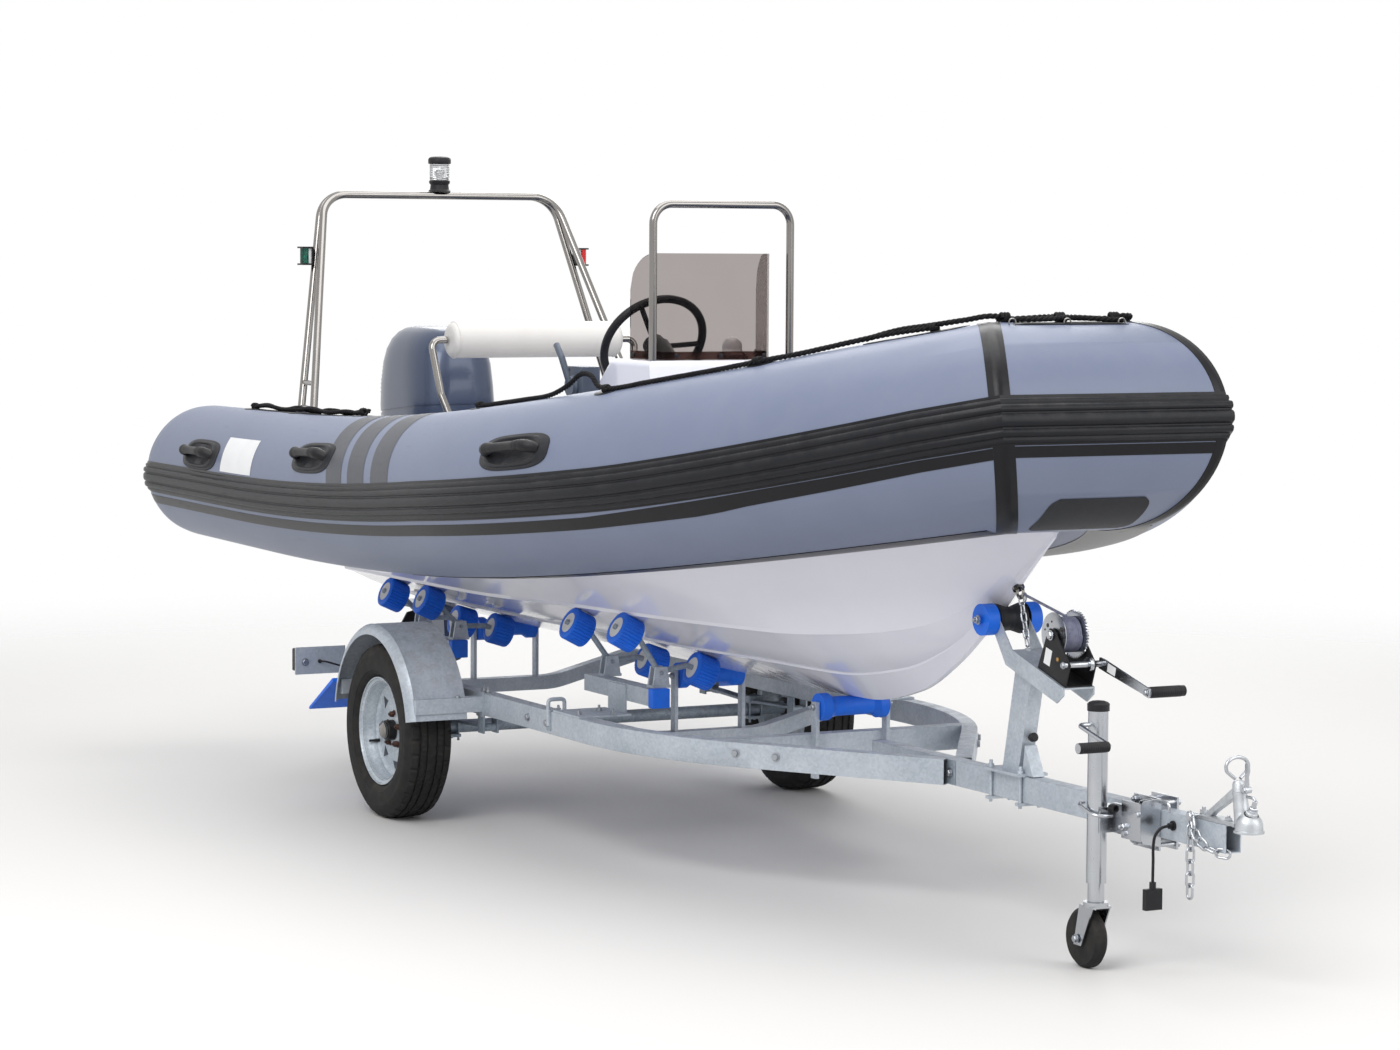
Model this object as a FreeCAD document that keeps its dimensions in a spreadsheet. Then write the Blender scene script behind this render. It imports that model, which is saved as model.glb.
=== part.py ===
import FreeCAD, Part
import Sketcher
import math
import os
import re
from FreeCAD import Placement, Rotation, Units, Vector

# Rigid inflatable boat on its roller trailer.
# All lengths are millimetres. Stations are counted from the trailer's axle: +X runs forward, +Y to port
# and +Z up from the floor. The finished pieces are all moved back by one amount, so that the origin lies
# on the floor under the middle of the whole outfit.

doc = FreeCAD.newDocument("RibOnTrailer")
sheet = doc.addObject("Spreadsheet::Sheet", "Sizes")

# name, value, what it is
SIZES = (
    ("running_gap", 0.3, "clearance where round things sit in each other"),

    ("hub_height", 294.0, "wheel centre above the floor"),
    ("wheel_plane", 770.0, "wheel centre plane from the middle"),
    ("tyre_width", 170.0, "tyre section"),
    ("rim_seat_radius", 165.0, "bead seat of a 13 inch rim"),
    ("rim_flange_radius", 182.0, "rim flange"),
    ("rim_width", 136.0, "rim over its flanges"),
    ("rim_sheet", 5.0, "rim barrel wall"),
    ("dish_inset", 20.0, "rim disc's outer face inboard of the rim's outer edge"),
    ("hub_radius", 36.0, "wheel hub"),
    ("hub_length", 78.0, "wheel hub along the axle"),
    ("axle_radius", 22.0, "round axle beam"),
    ("spindle_radius", 14.0, "stub that the hub turns on"),

    ("rail_height", 75.0, "drawbar and side rails, height"),
    ("rail_width", 50.0, "drawbar and side rails, width"),
    ("rail_wall", 3.0, "wall of the box section"),
    ("frame_top", 448.0, "top of the frame above the floor"),
    ("drawbar_tail", 1905.0, "drawbar's rear end"),
    ("drawbar_nose", 3721.0, "drawbar's front end"),
    ("joint_station", 2385.0, "where the side rails meet the drawbar"),
    ("rail_half_spread", 585.0, "side rails' middle line from the middle at the wheels"),
    ("rail_straight_end", 1010.0, "where a side rail starts to turn inward"),
    ("rail_tail", -900.0, "side rails' rear end"),

    ("guard_radius", 345.0, "mudguard's inner radius"),
    ("guard_width", 205.0, "mudguard"),
    ("guard_sheet", 2.5, "mudguard's sheet"),
    ("guard_lift", 14.0, "mudguard's arc centre above the hub"),

    ("keel_height", 560.0, "keel above the floor"),
    ("transom_station", -1150.0, "outer face of the transom"),
    ("transom_thickness", 62.0, "transom"),
    ("transom_top", 1085.0, "transom's upper edge above the floor"),
    ("sole_height", 940.0, "cockpit sole above the floor"),

    ("tube_radius", 262.5, "inflatable tube over the axle"),
    ("tube_taper", 0.0094, "growth of the tube's radius toward the bow, a share of the length"),
    ("tube_spread", 785.0, "side tubes' middle line from the middle"),
    ("tube_height", 1070.0, "tube's middle line above the floor at the stern"),
    ("tube_tail", -1760.0, "where the tube's round stern cap starts"),
    ("cap_depth", 200.0, "stern cap"),
    ("turn_start", 790.0, "where the tubes start to turn inward"),
    ("elbow_side", 201.0, "elbows' distance from the middle"),
    ("rise_start", -930.0, "where the tubes start to rise"),
    ("rise_radius", 19900.0, "rise, in side view"),
    ("elbow_station", 2870.0, "where a side tube meets the nose tube"),
    ("strake_height", 110.0, "rubbing strake"),
    ("strake_depth", 17.0, "rubbing strake off the tube"),
    ("strake_drop", 20.6, "strake's middle line below the tube's"),
    ("strake_climb", 53.0, "how far the strake climbs the tube by the elbow"),
    ("climb_start", 1750.0, "station where the strake begins to climb"),
    ("skin_gap", 0.5, "tube to what it is bonded to"),

    ("console_front", 900.0, "console's front face"),
    ("console_length", 560.0, "console"),
    ("console_width", 560.0, "console"),
    ("console_top", 1560.0, "console's top above the floor"),
    ("rail_tube_radius", 13.0, "stainless console rail"),
    ("hoop_radius", 14.0, "stainless arch hoops"),
    ("wheel_rim_radius", 178.0, "steering wheel to the middle of its rim"),
    ("seat_height", 240.0, "seat's top above the sole"),
    ("seat_pad", 74.7, "seat cushion"),
    ("bolster_radius", 70.0, "backrest bolster"),
    ("bolster_half", 340.0, "backrest bolster, half its length"),
    ("bolster_height", 1590.0, "backrest bolster's middle above the floor"),
    ("bolster_station", -580.0, "backrest bolster's middle"),

    ("roller_radius", 54.0, "side rollers"),
    ("roller_width", 76.0, "side rollers"),
    ("arm_radius", 9.0, "bent rods that carry the side rollers"),
    ("keel_roller_radius", 30.0, "keel roller's waist"),
    ("keel_roller_half", 115.0, "keel roller, half its length"),

    ("jockey_station", 3275.0, "jockey stand's middle line"),
    ("jockey_side", -125.0, "jockey stand's middle line from the middle"),
    ("jockey_tube_radius", 27.0, "jockey stand's outer tube"),
    ("jockey_leg_radius", 22.5, "jockey stand's inner leg"),
    ("jockey_wheel_radius", 81.0, "jockey wheel"),
    ("jockey_wheel_width", 40.0, "jockey wheel"),
    ("jockey_trail", 42.0, "jockey wheel's axle behind its swivel line"),

    ("ball_ahead", 68.0, "middle of the coupling's socket ahead of the drawbar"),
    ("ball_radius", 25.4, "socket for a 50 mm ball"),
    ("socket_radius", 40.0, "outside of the coupling's socket"),
)
for row, (name, amount, _meaning) in enumerate(SIZES, start=1):
    sheet.set("A%d" % row, name)
    sheet.set("B%d" % row, repr(amount))
    sheet.setAlias("B%d" % row, name)
    sheet.set("C%d" % row, _meaning)
doc.recompute()

NAMES = sorted((row[0] for row in SIZES), key=len, reverse=True)
WORD = re.compile(r"\b(" + "|".join(NAMES) + r")\b")


def size(name):
    return float(sheet.get(name))


def bind(text):
    """The same sum, with each size's name led by its sheet."""
    return WORD.sub(lambda found: "Sizes." + found.group(), text)


def number(text):
    """What the sum comes to with the sheet's present values."""
    return Units.parseQuantity(WORD.sub(lambda found: repr(size(found.group())), text)).Value


def middleStation():
    """Station of the outfit's middle, between the stern caps' tips and the coupling's nose."""
    front = size("drawbar_nose") + size("ball_ahead") + size("socket_radius")
    return (front + size("tube_tail") - size("cap_depth")) / 2


def shifted(x=0.0, y=0.0, z=0.0, turn=None):
    return Placement(Vector(x - middleStation(), y, z), turn or Rotation())


# Sketch and feature helpers

def newBody(label, x=0.0, y=0.0, z=0.0, turn=None):
    body = doc.addObject("PartDesign::Body", label)
    body.Label = label
    body.Placement = shifted(x, y, z, turn)
    return body


def drawOn(body, role, lift="0"):
    sketch = body.newObject("Sketcher::SketchObject", body.Label + "_sketch")
    plane = next(item for item in body.Origin.OriginFeatures if item.Role == role)
    sketch.AttachmentSupport = (plane, [""])
    sketch.MapMode = "FlatFace"
    sketch.setExpression("AttachmentOffset.Base.z", bind(lift))
    return sketch


def outline(sketch, corners):
    """A closed outline whose corners are held at the given sums from the sketch's origin."""
    first = sketch.GeometryCount
    spots = [Vector(number(across), number(up), 0) for across, up in corners]
    for index, spot in enumerate(spots):
        sketch.addGeometry(Part.LineSegment(spot, spots[(index + 1) % len(spots)]), False)
    for index in range(len(spots)):
        after = (index + 1) % len(spots)
        sketch.addConstraint(Sketcher.Constraint("Coincident", first + index, 2, first + after, 1))
    for index, (across, up) in enumerate(corners):
        for kind, text in (("DistanceX", across), ("DistanceY", up)):
            rule = sketch.addConstraint(Sketcher.Constraint(kind, -1, 1, first + index, 1, number(text)))
            sketch.setExpression("Constraints[%d]" % rule, bind(text))


def disc(sketch, radius, across="0", up="0"):
    """A full circle of the given radius at the given sums."""
    here = sketch.addGeometry(Part.Circle(Vector(number(across), number(up), 0), Vector(0, 0, 1),
                                          number(radius)), False)
    rule = sketch.addConstraint(Sketcher.Constraint("Radius", here, number(radius)))
    sketch.setExpression("Constraints[%d]" % rule, bind(radius))
    for kind, text in (("DistanceX", across), ("DistanceY", up)):
        rule = sketch.addConstraint(Sketcher.Constraint(kind, -1, 1, here, 3, number(text)))
        sketch.setExpression("Constraints[%d]" % rule, bind(text))


def pad(body, sketch, length, midplane=False):
    grown = body.newObject("PartDesign::Pad", body.Label + "_pad")
    grown.Profile = sketch
    grown.Midplane = midplane
    grown.setExpression("Length", bind(length))
    return grown


def revolve(body, sketch, axis="H_Axis"):
    turned = body.newObject("PartDesign::Revolution", body.Label + "_turned")
    turned.Profile = sketch
    turned.ReferenceAxis = (sketch, [axis])
    turned.Angle = 360.0
    return turned


def cutThrough(body, sketch, midplane=True):
    cut = body.newObject("PartDesign::Pocket", body.Label + "_cut")
    cut.Profile = sketch
    cut.Type = "ThroughAll"
    cut.Midplane = midplane
    return cut


def roundPattern(body, feature, sketch, count, axis="N_Axis"):
    around = body.newObject("PartDesign::PolarPattern", body.Label + "_around")
    around.Originals = [feature]
    around.Axis = (sketch, [axis])
    around.Angle = 360.0
    around.Occurrences = count
    body.Tip = around
    return around


def turnedBody(label, corners, x=0.0, y=0.0, z=0.0, turn=None):
    """A piece turned about its own Y axis from an outline of (along, radius) sums."""
    body = newBody(label, x, y, z, turn)
    sketch = drawOn(body, "YZ_Plane")
    outline(sketch, corners)
    revolve(body, sketch)
    return body


# Solid helpers, for pieces whose shape is set directly

def settle(label, shape):
    piece = doc.addObject("Part::Feature", label)
    piece.Label = label
    piece.Shape = shape
    piece.Placement = shifted()
    return piece


def block(x0, x1, y0, y1, z0, z1):
    return Part.makeBox(x1 - x0, y1 - y0, z1 - z0, Vector(x0, y0, z0))


def rod(start, end, radius):
    start, end = Vector(*start), Vector(*end)
    return Part.makeCylinder(radius, (end - start).Length, start, end - start)


def plate(corners, lift, axis="Z"):
    """A flat plate from (a, b) corners and a (low, high) span along the named axis."""
    low, high = lift
    order = {"X": lambda a, b: Vector(low, a, b), "Y": lambda a, b: Vector(a, low, b),
             "Z": lambda a, b: Vector(a, b, low)}[axis]
    depth = high - low
    along = {"X": Vector(depth, 0, 0), "Y": Vector(0, depth, 0), "Z": Vector(0, 0, depth)}[axis]
    spots = [order(a, b) for a, b in corners]
    return Part.Face(Part.makePolygon(spots + spots[:1])).extrude(along)


def bentLine(spots, bend):
    """Straight runs through the spots, joined by tangent arcs of one radius or one radius a corner."""
    spots = [Vector(*spot) for spot in spots]
    bends = bend if isinstance(bend, (list, tuple)) else [bend] * (len(spots) - 2)
    edges = []
    start = spots[0]
    for corner, after, radius in zip(spots[1:-1], spots[2:], bends):
        back = (start - corner).normalize() if (start - corner).Length else None
        ahead = (after - corner).normalize()
        half = back.getAngle(ahead) / 2
        reach = radius / math.tan(half)
        entry, leave = corner + back * reach, corner + ahead * reach
        middle = corner + (back + ahead).normalize() * (radius / math.sin(half) - radius)
        edges.append(Part.LineSegment(start, entry).toShape())
        edges.append(Part.Arc(entry, middle, leave).toShape())
        start = leave
    edges.append(Part.LineSegment(start, spots[-1]).toShape())
    return Part.Wire(edges)


def bentRod(spots, bend, radius):
    path = bentLine(spots, bend)
    first = path.Edges[0]
    heading = first.tangentAt(first.FirstParameter)
    ring = Part.Wire(Part.makeCircle(radius, path.Edges[0].valueAt(first.FirstParameter), heading))
    return path.makePipeShell([ring], True, False)


def bothSides(shape):
    return [shape, shape.mirror(Vector(0, 0, 0), Vector(0, 1, 0))]


def fused(shapes):
    return shapes[0].fuse(shapes[1:]).removeSplitter()


# The tubes' middle line: straight from the stern, then an even turn inward and an even rise to the elbow

def turnRadius():
    """Radius of the inward turn that brings a side tube to its elbow."""
    run, drop = size("elbow_station") - size("turn_start"), size("tube_spread") - size("elbow_side")
    return (run ** 2 + drop ** 2) / (2 * drop)


def tubeSpot(station, side=-1):
    turn_run = max(station - size("turn_start"), 0.0)
    rise_run = max(station - size("rise_start"), 0.0)
    inward = turnRadius() - math.sqrt(turnRadius() ** 2 - turn_run ** 2)
    upward = size("rise_radius") - math.sqrt(size("rise_radius") ** 2 - rise_run ** 2)
    return Vector(station, side * (size("tube_spread") - inward), size("tube_height") + upward)


def tubeRadius(station):
    return size("tube_radius") + size("tube_taper") * station


def tubeHeading(station, side=-1):
    turn_run = max(station - size("turn_start"), 0.0)
    rise_run = max(station - size("rise_start"), 0.0)
    inward = turn_run / math.sqrt(turnRadius() ** 2 - turn_run ** 2)
    upward = rise_run / math.sqrt(size("rise_radius") ** 2 - rise_run ** 2)
    return Vector(1, -side * inward, upward).normalize()


def tubeFrame(station, side=-1):
    """Spot, heading, outward and upward directions of a side tube's section."""
    heading = tubeHeading(station, side)
    outward = heading.cross(Vector(0, 0, 1)).normalize() * (1 if side < 0 else -1)
    upward = outward.cross(heading).normalize()
    if upward.z < 0:
        upward = upward * -1
    return tubeSpot(station, side), heading, outward, upward


def elbow():
    """Spot of the starboard elbow and the normal of its mitre plane, pointing along the side tube."""
    heading = tubeHeading(size("elbow_station"))
    return tubeSpot(size("elbow_station")), (heading + Vector(0, 1, 0)).normalize()


CURVED_SPANS = 12


def tubeStations():
    """Stations of the sections: both ends of the straight stern part, then even steps to the elbow."""
    start, end = size("rise_start"), size("elbow_station")
    steps = [start + (end - start) * index / CURVED_SPANS for index in range(CURVED_SPANS + 1)]
    return [size("tube_tail")] + steps


# The inflatable boat

def sectionFrame(station, side=-1):
    """A side tube's section frame, twisted evenly so that it meets the nose tube's frame at the elbow."""
    spot, heading, outward, upward = tubeFrame(station, side)
    end_heading = tubeHeading(size("elbow_station"), side)
    across = Vector(0, -side, 0)
    normal = end_heading + across
    forward = Vector(1, 0, 0)
    mirrored = forward - normal * (2 * forward.dot(normal) / normal.dot(normal))
    end_outward = end_heading.cross(Vector(0, 0, 1)).normalize() * (1 if side < 0 else -1)
    full = end_outward.getAngle(mirrored)
    share = max(station - size("turn_start"), 0.0) / (size("elbow_station") - size("turn_start"))
    lean = full * share
    low = outward * math.cos(lean) - upward * math.sin(lean)
    return spot, heading, low, outward * math.sin(lean) + upward * math.cos(lean)


# Stern cap, from the straight tube to its tip: share of the cap's depth, share of the tube's radius
CAP_STEPS = ((0.45, 0.93), (0.78, 0.72), (1.0, 0.36))


def tubeSections(cap_steps):
    """Section frames and radii from the starboard stern round the bow to the port stern.

    Both elbow sections lie in their mitre planes, so the stretch between them is the nose tube.
    """
    tail, depth = size("tube_tail"), size("cap_depth")
    halves = []
    for side in (-1, 1):
        half = []
        spot, heading, outward, upward = sectionFrame(tail, side)
        for along, share in reversed(CAP_STEPS[:cap_steps]):
            radius = tubeRadius(tail) * share
            half.append((spot - heading * depth * along, heading, outward, upward, radius, None))
        for station in tubeStations():
            frame = sectionFrame(station, side)
            mitre = None
            if station == size("elbow_station"):
                mitre = (frame[1] + Vector(0, -side, 0)).normalize()
            half.append(frame + (tubeRadius(station), mitre))
        halves.append(half)
    return halves[0] + list(reversed(halves[1]))


def ontoMitre(wire, spot, heading, normal):
    """The section slid along its tube until it lies in the mitre plane."""
    slope = (normal - heading * normal.dot(heading)) * (-1 / normal.dot(heading))
    base = slope.dot(spot)
    rows = []
    for along, keep in zip(heading, ((1, 0, 0), (0, 1, 0), (0, 0, 1))):
        rows += [keep[0] + along * slope.x, keep[1] + along * slope.y, keep[2] + along * slope.z,
                 -along * base]
    return wire.transformGeometry(FreeCAD.Matrix(*(rows + [0, 0, 0, 1])))


def roundTheBow(section, cap_steps=len(CAP_STEPS)):
    """One solid lofted through every section from stern to stern."""
    wires = []
    for spot, heading, outward, upward, radius, mitre in tubeSections(cap_steps):
        wire = section(spot, outward, upward, radius)
        wires.append(ontoMitre(wire, spot, heading, mitre) if mitre else wire)
    return Part.makeLoft(wires, True, True)


def roundSection(grown):
    def draw(spot, outward, upward, radius):
        reach = radius + grown
        top, foot = spot + upward * reach, spot - upward * reach
        outer = Part.Arc(top, spot + outward * reach, foot).toShape()
        inner = Part.Arc(foot, spot - outward * reach, top).toShape()
        return Part.Wire([outer, inner])
    return draw


def tubeSolid(grown=0.0):
    return roundTheBow(roundSection(grown))


# height above the equator as a share of the strake, depth as a share of the full depth
STRAKE_RIDGES = ((-0.50, 0.35), (-0.45, 0.85), (-0.30, 1.0), (-0.26, 0.55), (-0.22, 1.0), (-0.04, 1.0),
                 (0.0, 0.55), (0.04, 1.0), (0.22, 1.0), (0.26, 0.55), (0.30, 1.0), (0.45, 0.85), (0.50, 0.35))
STRAKE_CAP_STEPS = 2


def strakeSection(spot, outward, upward, radius):
    inner = radius + size("skin_gap")
    tall, deep = size("strake_height"), size("strake_depth")
    share = max(spot.x - size("climb_start"), 0.0) / (size("elbow_station") - size("climb_start"))
    sink = math.asin((size("strake_drop") - size("strake_climb") * min(share, 1.0) ** 1.5) / inner)
    outward, upward = (outward * math.cos(sink) - upward * math.sin(sink),
                       outward * math.sin(sink) + upward * math.cos(sink))
    ridges = []
    for share, depth in STRAKE_RIDGES:
        lift = share * tall
        ridges.append(spot + outward * (math.sqrt(inner ** 2 - lift ** 2) + depth * deep) + upward * lift)
    edge = tall / 2
    rim_reach = math.sqrt(inner ** 2 - edge ** 2)
    low, top = spot + outward * rim_reach - upward * edge, spot + outward * rim_reach + upward * edge
    edges = [Part.Arc(top, spot + outward * inner, low).toShape()]
    corners = [low] + ridges + [top]
    for start, end in zip(corners, corners[1:]):
        edges.append(Part.LineSegment(start, end).toShape())
    return Part.Wire(edges)


# Hull sections: heights and half widths of keel, spray rail, chine and edge under the tube
HULL_SECTIONS = (
    # station, keel z, rail y, rail z, chine y, chine z, edge y, edge z
    (-1150.0, 560.0, 300.0, 652.0, 500.0, 742.0, 680.0, 890.0),
    (0.0, 560.0, 300.0, 655.0, 508.0, 750.0, 685.0, 890.0),
    (1000.0, 560.0, 290.0, 668.0, 500.0, 780.0, 690.0, 930.0),
    (1500.0, 560.0, 240.0, 668.0, 445.0, 786.0, 640.0, 985.0),
    (1850.0, 565.0, 148.0, 656.0, 374.0, 789.5, 560.0, 1046.0),
    (1900.0, 568.0, 130.0, 655.0, 360.0, 790.0, 545.0, 1055.0),
    (2150.0, 622.0, 72.0, 690.0, 262.0, 806.0, 460.0, 1100.0),
    (2350.0, 722.0, 42.0, 765.0, 150.0, 838.0, 375.0, 1140.0),
    (2550.0, 868.0, 24.0, 895.0, 60.0, 930.0, 270.0, 1180.0),
    (2750.0, 1040.0, 14.0, 1060.0, 34.0, 1085.0, 130.0, 1215.0),
    (2860.0, 1128.0, 8.0, 1140.0, 18.0, 1155.0, 50.0, 1235.0),
)
LOCKER_STATION = 1850.0
LOCKER_TOP = 1240.0


def hullSolid():
    wires = []
    for station, keel, rail_y, rail_z, chine_y, chine_z, edge_y, edge_z in HULL_SECTIONS:
        top = size("sole_height") if station <= LOCKER_STATION else edge_z + 25
        inner_y = edge_y if top > edge_z else chine_y + 0.4 * (edge_y - chine_y)
        half = [(0.0, keel), (rail_y, rail_z), (chine_y, chine_z), (edge_y, edge_z), (inner_y, top)]
        corners = [(-y, z) for y, z in reversed(half[1:])] + half
        spots = [Vector(station, y, z) for y, z in corners]
        wires.append(Part.makePolygon(spots + spots[:1]))
    return Part.makeLoft(wires, True, True)


def hull():
    return settle("hull", hullSolid().cut(tubeSolid(size("skin_gap"))))


def tube():
    return settle("inflatable_tube", tubeSolid())


def strake():
    return settle("rub_strake", roundTheBow(strakeSection, STRAKE_CAP_STEPS))


def transom():
    """Board that carries the outboard, from the sole up between the tubes, lowered in the middle."""
    top = size("transom_top")
    low = min(size("sole_height"), top - 60)
    shoulder = top + 95
    corners = [(-640, low), (640, low), (640, shoulder), (260, shoulder), (205, top), (-205, top),
               (-260, shoulder), (-640, shoulder)]
    face = size("transom_station")
    board = plate(corners, (face, face + size("transom_thickness")), "X")
    return settle("transom", board.cut(tubeSolid(size("skin_gap"))))


def bowLocker():
    """Moulded locker step that fills the bow between the tubes, above the sole."""
    inset = 60
    starboard = [(row[0], inset - row[6]) for row in HULL_SECTIONS
                 if LOCKER_STATION <= row[0] and row[6] > inset + 20]
    corners = starboard + [(station, -y) for station, y in reversed(starboard)]
    body = plate(corners, (size("sole_height"), LOCKER_TOP), "Z")
    left = body.cut(tubeSolid(size("skin_gap"))).cut(hullSolid())
    return settle("bow_locker", max(left.Solids, key=lambda solid: solid.Volume))


# station, which face of the tube: outward share and upward share, of the handles on the starboard tube
HANDLES = ((-1250.0, 0.245), (-150.0, 0.32), (1390.0, 0.272))
HANDLE_LENGTH = 350.0
HANDLE_WIDTH = 120.0


def carryHandle(station, lean):
    """A moulded base on the tube's upper outer face with an arched grip, along the tube."""
    spot, heading, outward, upward = sectionFrame(station)
    angle = lean * math.pi / 2
    out = outward * math.cos(angle) + upward * math.sin(angle)
    along = heading
    seat = spot + out * (tubeRadius(station) + size("skin_gap"))
    up = along.cross(out)
    turn = Rotation(along, up, out, "ZXY")
    base = Part.makeBox(HANDLE_LENGTH, HANDLE_WIDTH, 16, Vector(-HANDLE_LENGTH / 2, -HANDLE_WIDTH / 2, -4))
    rim = [edge for edge in base.Edges if edge.BoundBox.ZLength < 1 and edge.BoundBox.ZMin > 1]
    base = base.makeFillet(6, rim)
    base.Placement = Placement(seat - out * 3.0, turn)
    grip = bentRod([(-122, 0, 6), (-104, 0, 40), (104, 0, 40), (122, 0, 6)], 16, 12)
    grip.Placement = Placement(seat, turn)
    return base.fuse(grip)


def carryHandles():
    grown = tubeSolid(size("skin_gap"))
    shapes = []
    for station, lean in HANDLES:
        shapes += bothSides(carryHandle(station, lean).cut(grown))
    return settle("carry_handles", Part.makeCompound(shapes))


# Grab line on the tube's upper face: station, lift off the tube's skin, degrees up from its outer side
GRAB_LINE = ((790.0, 6.9, 84.0), (960.0, 6.9, 84.0), (1130.0, 6.9, 83.0), (1290.0, 6.9, 82.0),
             (1400.0, 26.0, 82.0), (1490.0, 58.0, 81.0), (1570.0, 52.0, 77.0), (1620.0, 16.0, 73.0),
             (1690.0, 6.9, 72.0), (1830.0, 6.9, 74.0), (1970.0, 6.9, 75.5), (2110.0, 6.9, 76.5),
             (2250.0, 6.9, 78.0), (2380.0, 6.9, 82.0), (2500.0, 6.9, 86.0), (2630.0, 6.9, 89.0),
             (2760.0, 6.9, 90.0))
ROPE_BEND = 40


def grabLine():
    spots = []
    for station, lift, degrees in GRAB_LINE:
        spot, _heading, outward, upward = sectionFrame(station)
        angle = math.radians(degrees)
        reach = tubeRadius(station) + lift
        spots.append(tuple(spot + (outward * math.cos(angle) + upward * math.sin(angle)) * reach))
    rope = bentRod(spots, ROPE_BEND, 6.5)
    grown = tubeSolid(size("skin_gap"))
    shapes = bothSides(rope.cut(grown))
    return settle("grab_lines", Part.makeCompound(shapes))


EYE_STATION = 2672.0
EYE_RADIUS = 16.0
EYE_WIRE = 4.5


def keelHeight(station):
    for before, after in zip(HULL_SECTIONS, HULL_SECTIONS[1:]):
        if station <= after[0]:
            share = (station - before[0]) / (after[0] - before[0])
            return before[1] + share * (after[1] - before[1])
    return HULL_SECTIONS[-1][1]


def stemSpot(station):
    """Spot on the stem's edge and the direction straight out of it."""
    rise = (keelHeight(station + 10) - keelHeight(station - 10)) / 20
    return Vector(station, 0, keelHeight(station)), Vector(rise, 0, -1).normalize()


def eyeSpot():
    foot, out = stemSpot(EYE_STATION)
    return foot + out * EYE_RADIUS


def bowEye():
    """Stainless eye through the stem, where the winch holds the boat."""
    foot, out = stemSpot(EYE_STATION)
    plate_piece = rod(tuple(foot - out * 3), tuple(foot + out * 4), 18)
    eye = Part.makeTorus(EYE_RADIUS, EYE_WIRE, eyeSpot(), Vector(0, 1, 0))
    return settle("bow_eye", plate_piece.fuse(eye).cut(hullSolid()))


# Console's side outline: station and height sums, from its foot round its top to the helm panel
CONSOLE_OUTLINE = (("console_front - console_length", "sole_height"), ("console_front + 55", "sole_height"),
                   ("console_front", "console_top"), ("console_front - 290", "console_top"),
                   ("console_front - 470", "console_top - 150"),
                   ("console_front - console_length", "console_top - 190"))


CONSOLE_ROUND = 20.0


def consoleSolid():
    """The console with sharp corners, for what is cut to fit it."""
    half = size("console_width") / 2
    return plate([(number(x), number(z)) for x, z in CONSOLE_OUTLINE], (-half, half), "Y")


def console():
    """Helm console: a side outline padded across, with rounded corners."""
    body = newBody("console")
    sketch = drawOn(body, "XZ_Plane")
    outline(sketch, CONSOLE_OUTLINE)
    grown = pad(body, sketch, "console_width", True)
    doc.recompute()
    softened = body.newObject("PartDesign::Fillet", "console_rounds")
    softened.Base = (grown, ["Edge%d" % (index + 1) for index, edge in enumerate(grown.Shape.Edges)
                             if edge.BoundBox.ZMin > size("sole_height") + 5])
    softened.Radius = CONSOLE_ROUND
    return body


def windscreen():
    """Smoked sheet bent round the console's front: a front pane and two swept sides."""
    base, top = size("console_top") + size("running_gap"), size("console_top") + 345
    front, half = size("console_front") - 45, size("console_width") / 2 - 46
    wing, back, thick = half - 52, front - 190, 4.0
    corners = [(back, -half), (front, -wing), (front, wing), (back, half),
               (back - 1, half - thick), (front - thick, wing - 2), (front - thick, 2 - wing),
               (back - 1, thick - half)]
    sheet_piece = plate(corners, (base, top), "Z")
    return settle("windscreen", sheet_piece)


def consoleRail():
    """Stainless hoop round the windscreen, both legs on the console's sides."""
    half, station = size("console_width") / 2 - 30, size("console_front") - 36
    foot, top = size("console_top") + size("running_gap"), 2062.0
    radius = size("rail_tube_radius")
    hoop = bentRod([(station, -half, foot), (station, -half, top), (station, half, top),
                    (station, half, foot)],
                   65, radius)
    return settle("console_rail", hoop)


def compass():
    body = newBody("compass", size("console_front") - 190, 120, size("console_top"))
    sketch = drawOn(body, "XZ_Plane")
    outline(sketch, [("0", "0.5"), ("48", "0.5"), ("52", "14"), ("44", "34"), ("38", "52"), ("20", "70"),
                     ("0", "75")])
    revolve(body, sketch, "V_Axis")
    return body


HELM_SPOT = (372.0, 0.0, 1600.0)
HELM_LEAN = 32.0


def helmTurn():
    """Turns a piece's own Z onto the steering shaft, which leans aft and up toward the helm."""
    return Rotation(Vector(0, 1, 0), -(90.0 - HELM_LEAN))


def steeringWheel():
    radius = size("wheel_rim_radius")
    ring = Part.makeTorus(radius, 14)
    hub = Part.makeCylinder(38, 34, Vector(0, 0, -34))
    shapes = [ring, hub]
    for index in range(3):
        angle = math.radians(90 + 120 * index)
        tip = (radius * math.cos(angle), radius * math.sin(angle), 0)
        shapes.append(rod((24 * math.cos(angle), 24 * math.sin(angle), -18), tip, 9))
    wheel = fused(shapes)
    piece = doc.addObject("Part::Feature", "steering_wheel")
    piece.Label = "steering_wheel"
    piece.Shape = wheel
    piece.Placement = shifted(*HELM_SPOT, helmTurn())
    return piece


def steeringHelm():
    """Helm boss that the steering wheel turns on, from the console's panel."""
    axis = helmTurn().multVec(Vector(0, 0, 1))
    start = Vector(*HELM_SPOT) - axis * (34 + size("running_gap"))
    boss = rod(tuple(start), tuple(start - axis * 190), 45)
    return settle("steering_helm", boss.cut(consoleSolid()))


def throttle():
    """Control box on the console's starboard side with its lever."""
    side = -size("console_width") / 2 - 0.3
    box = block(420, 540, side - 62, side, 1400, 1530)
    hub = rod((470, side - 62, 1465), (470, side - 80, 1465), 34)
    lever = bentRod([(470, side - 74, 1465), (440, side - 92, 1560), (400, side - 92, 1600)], 20, 11)
    return settle("throttle_control", fused([box, hub, lever]))


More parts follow.
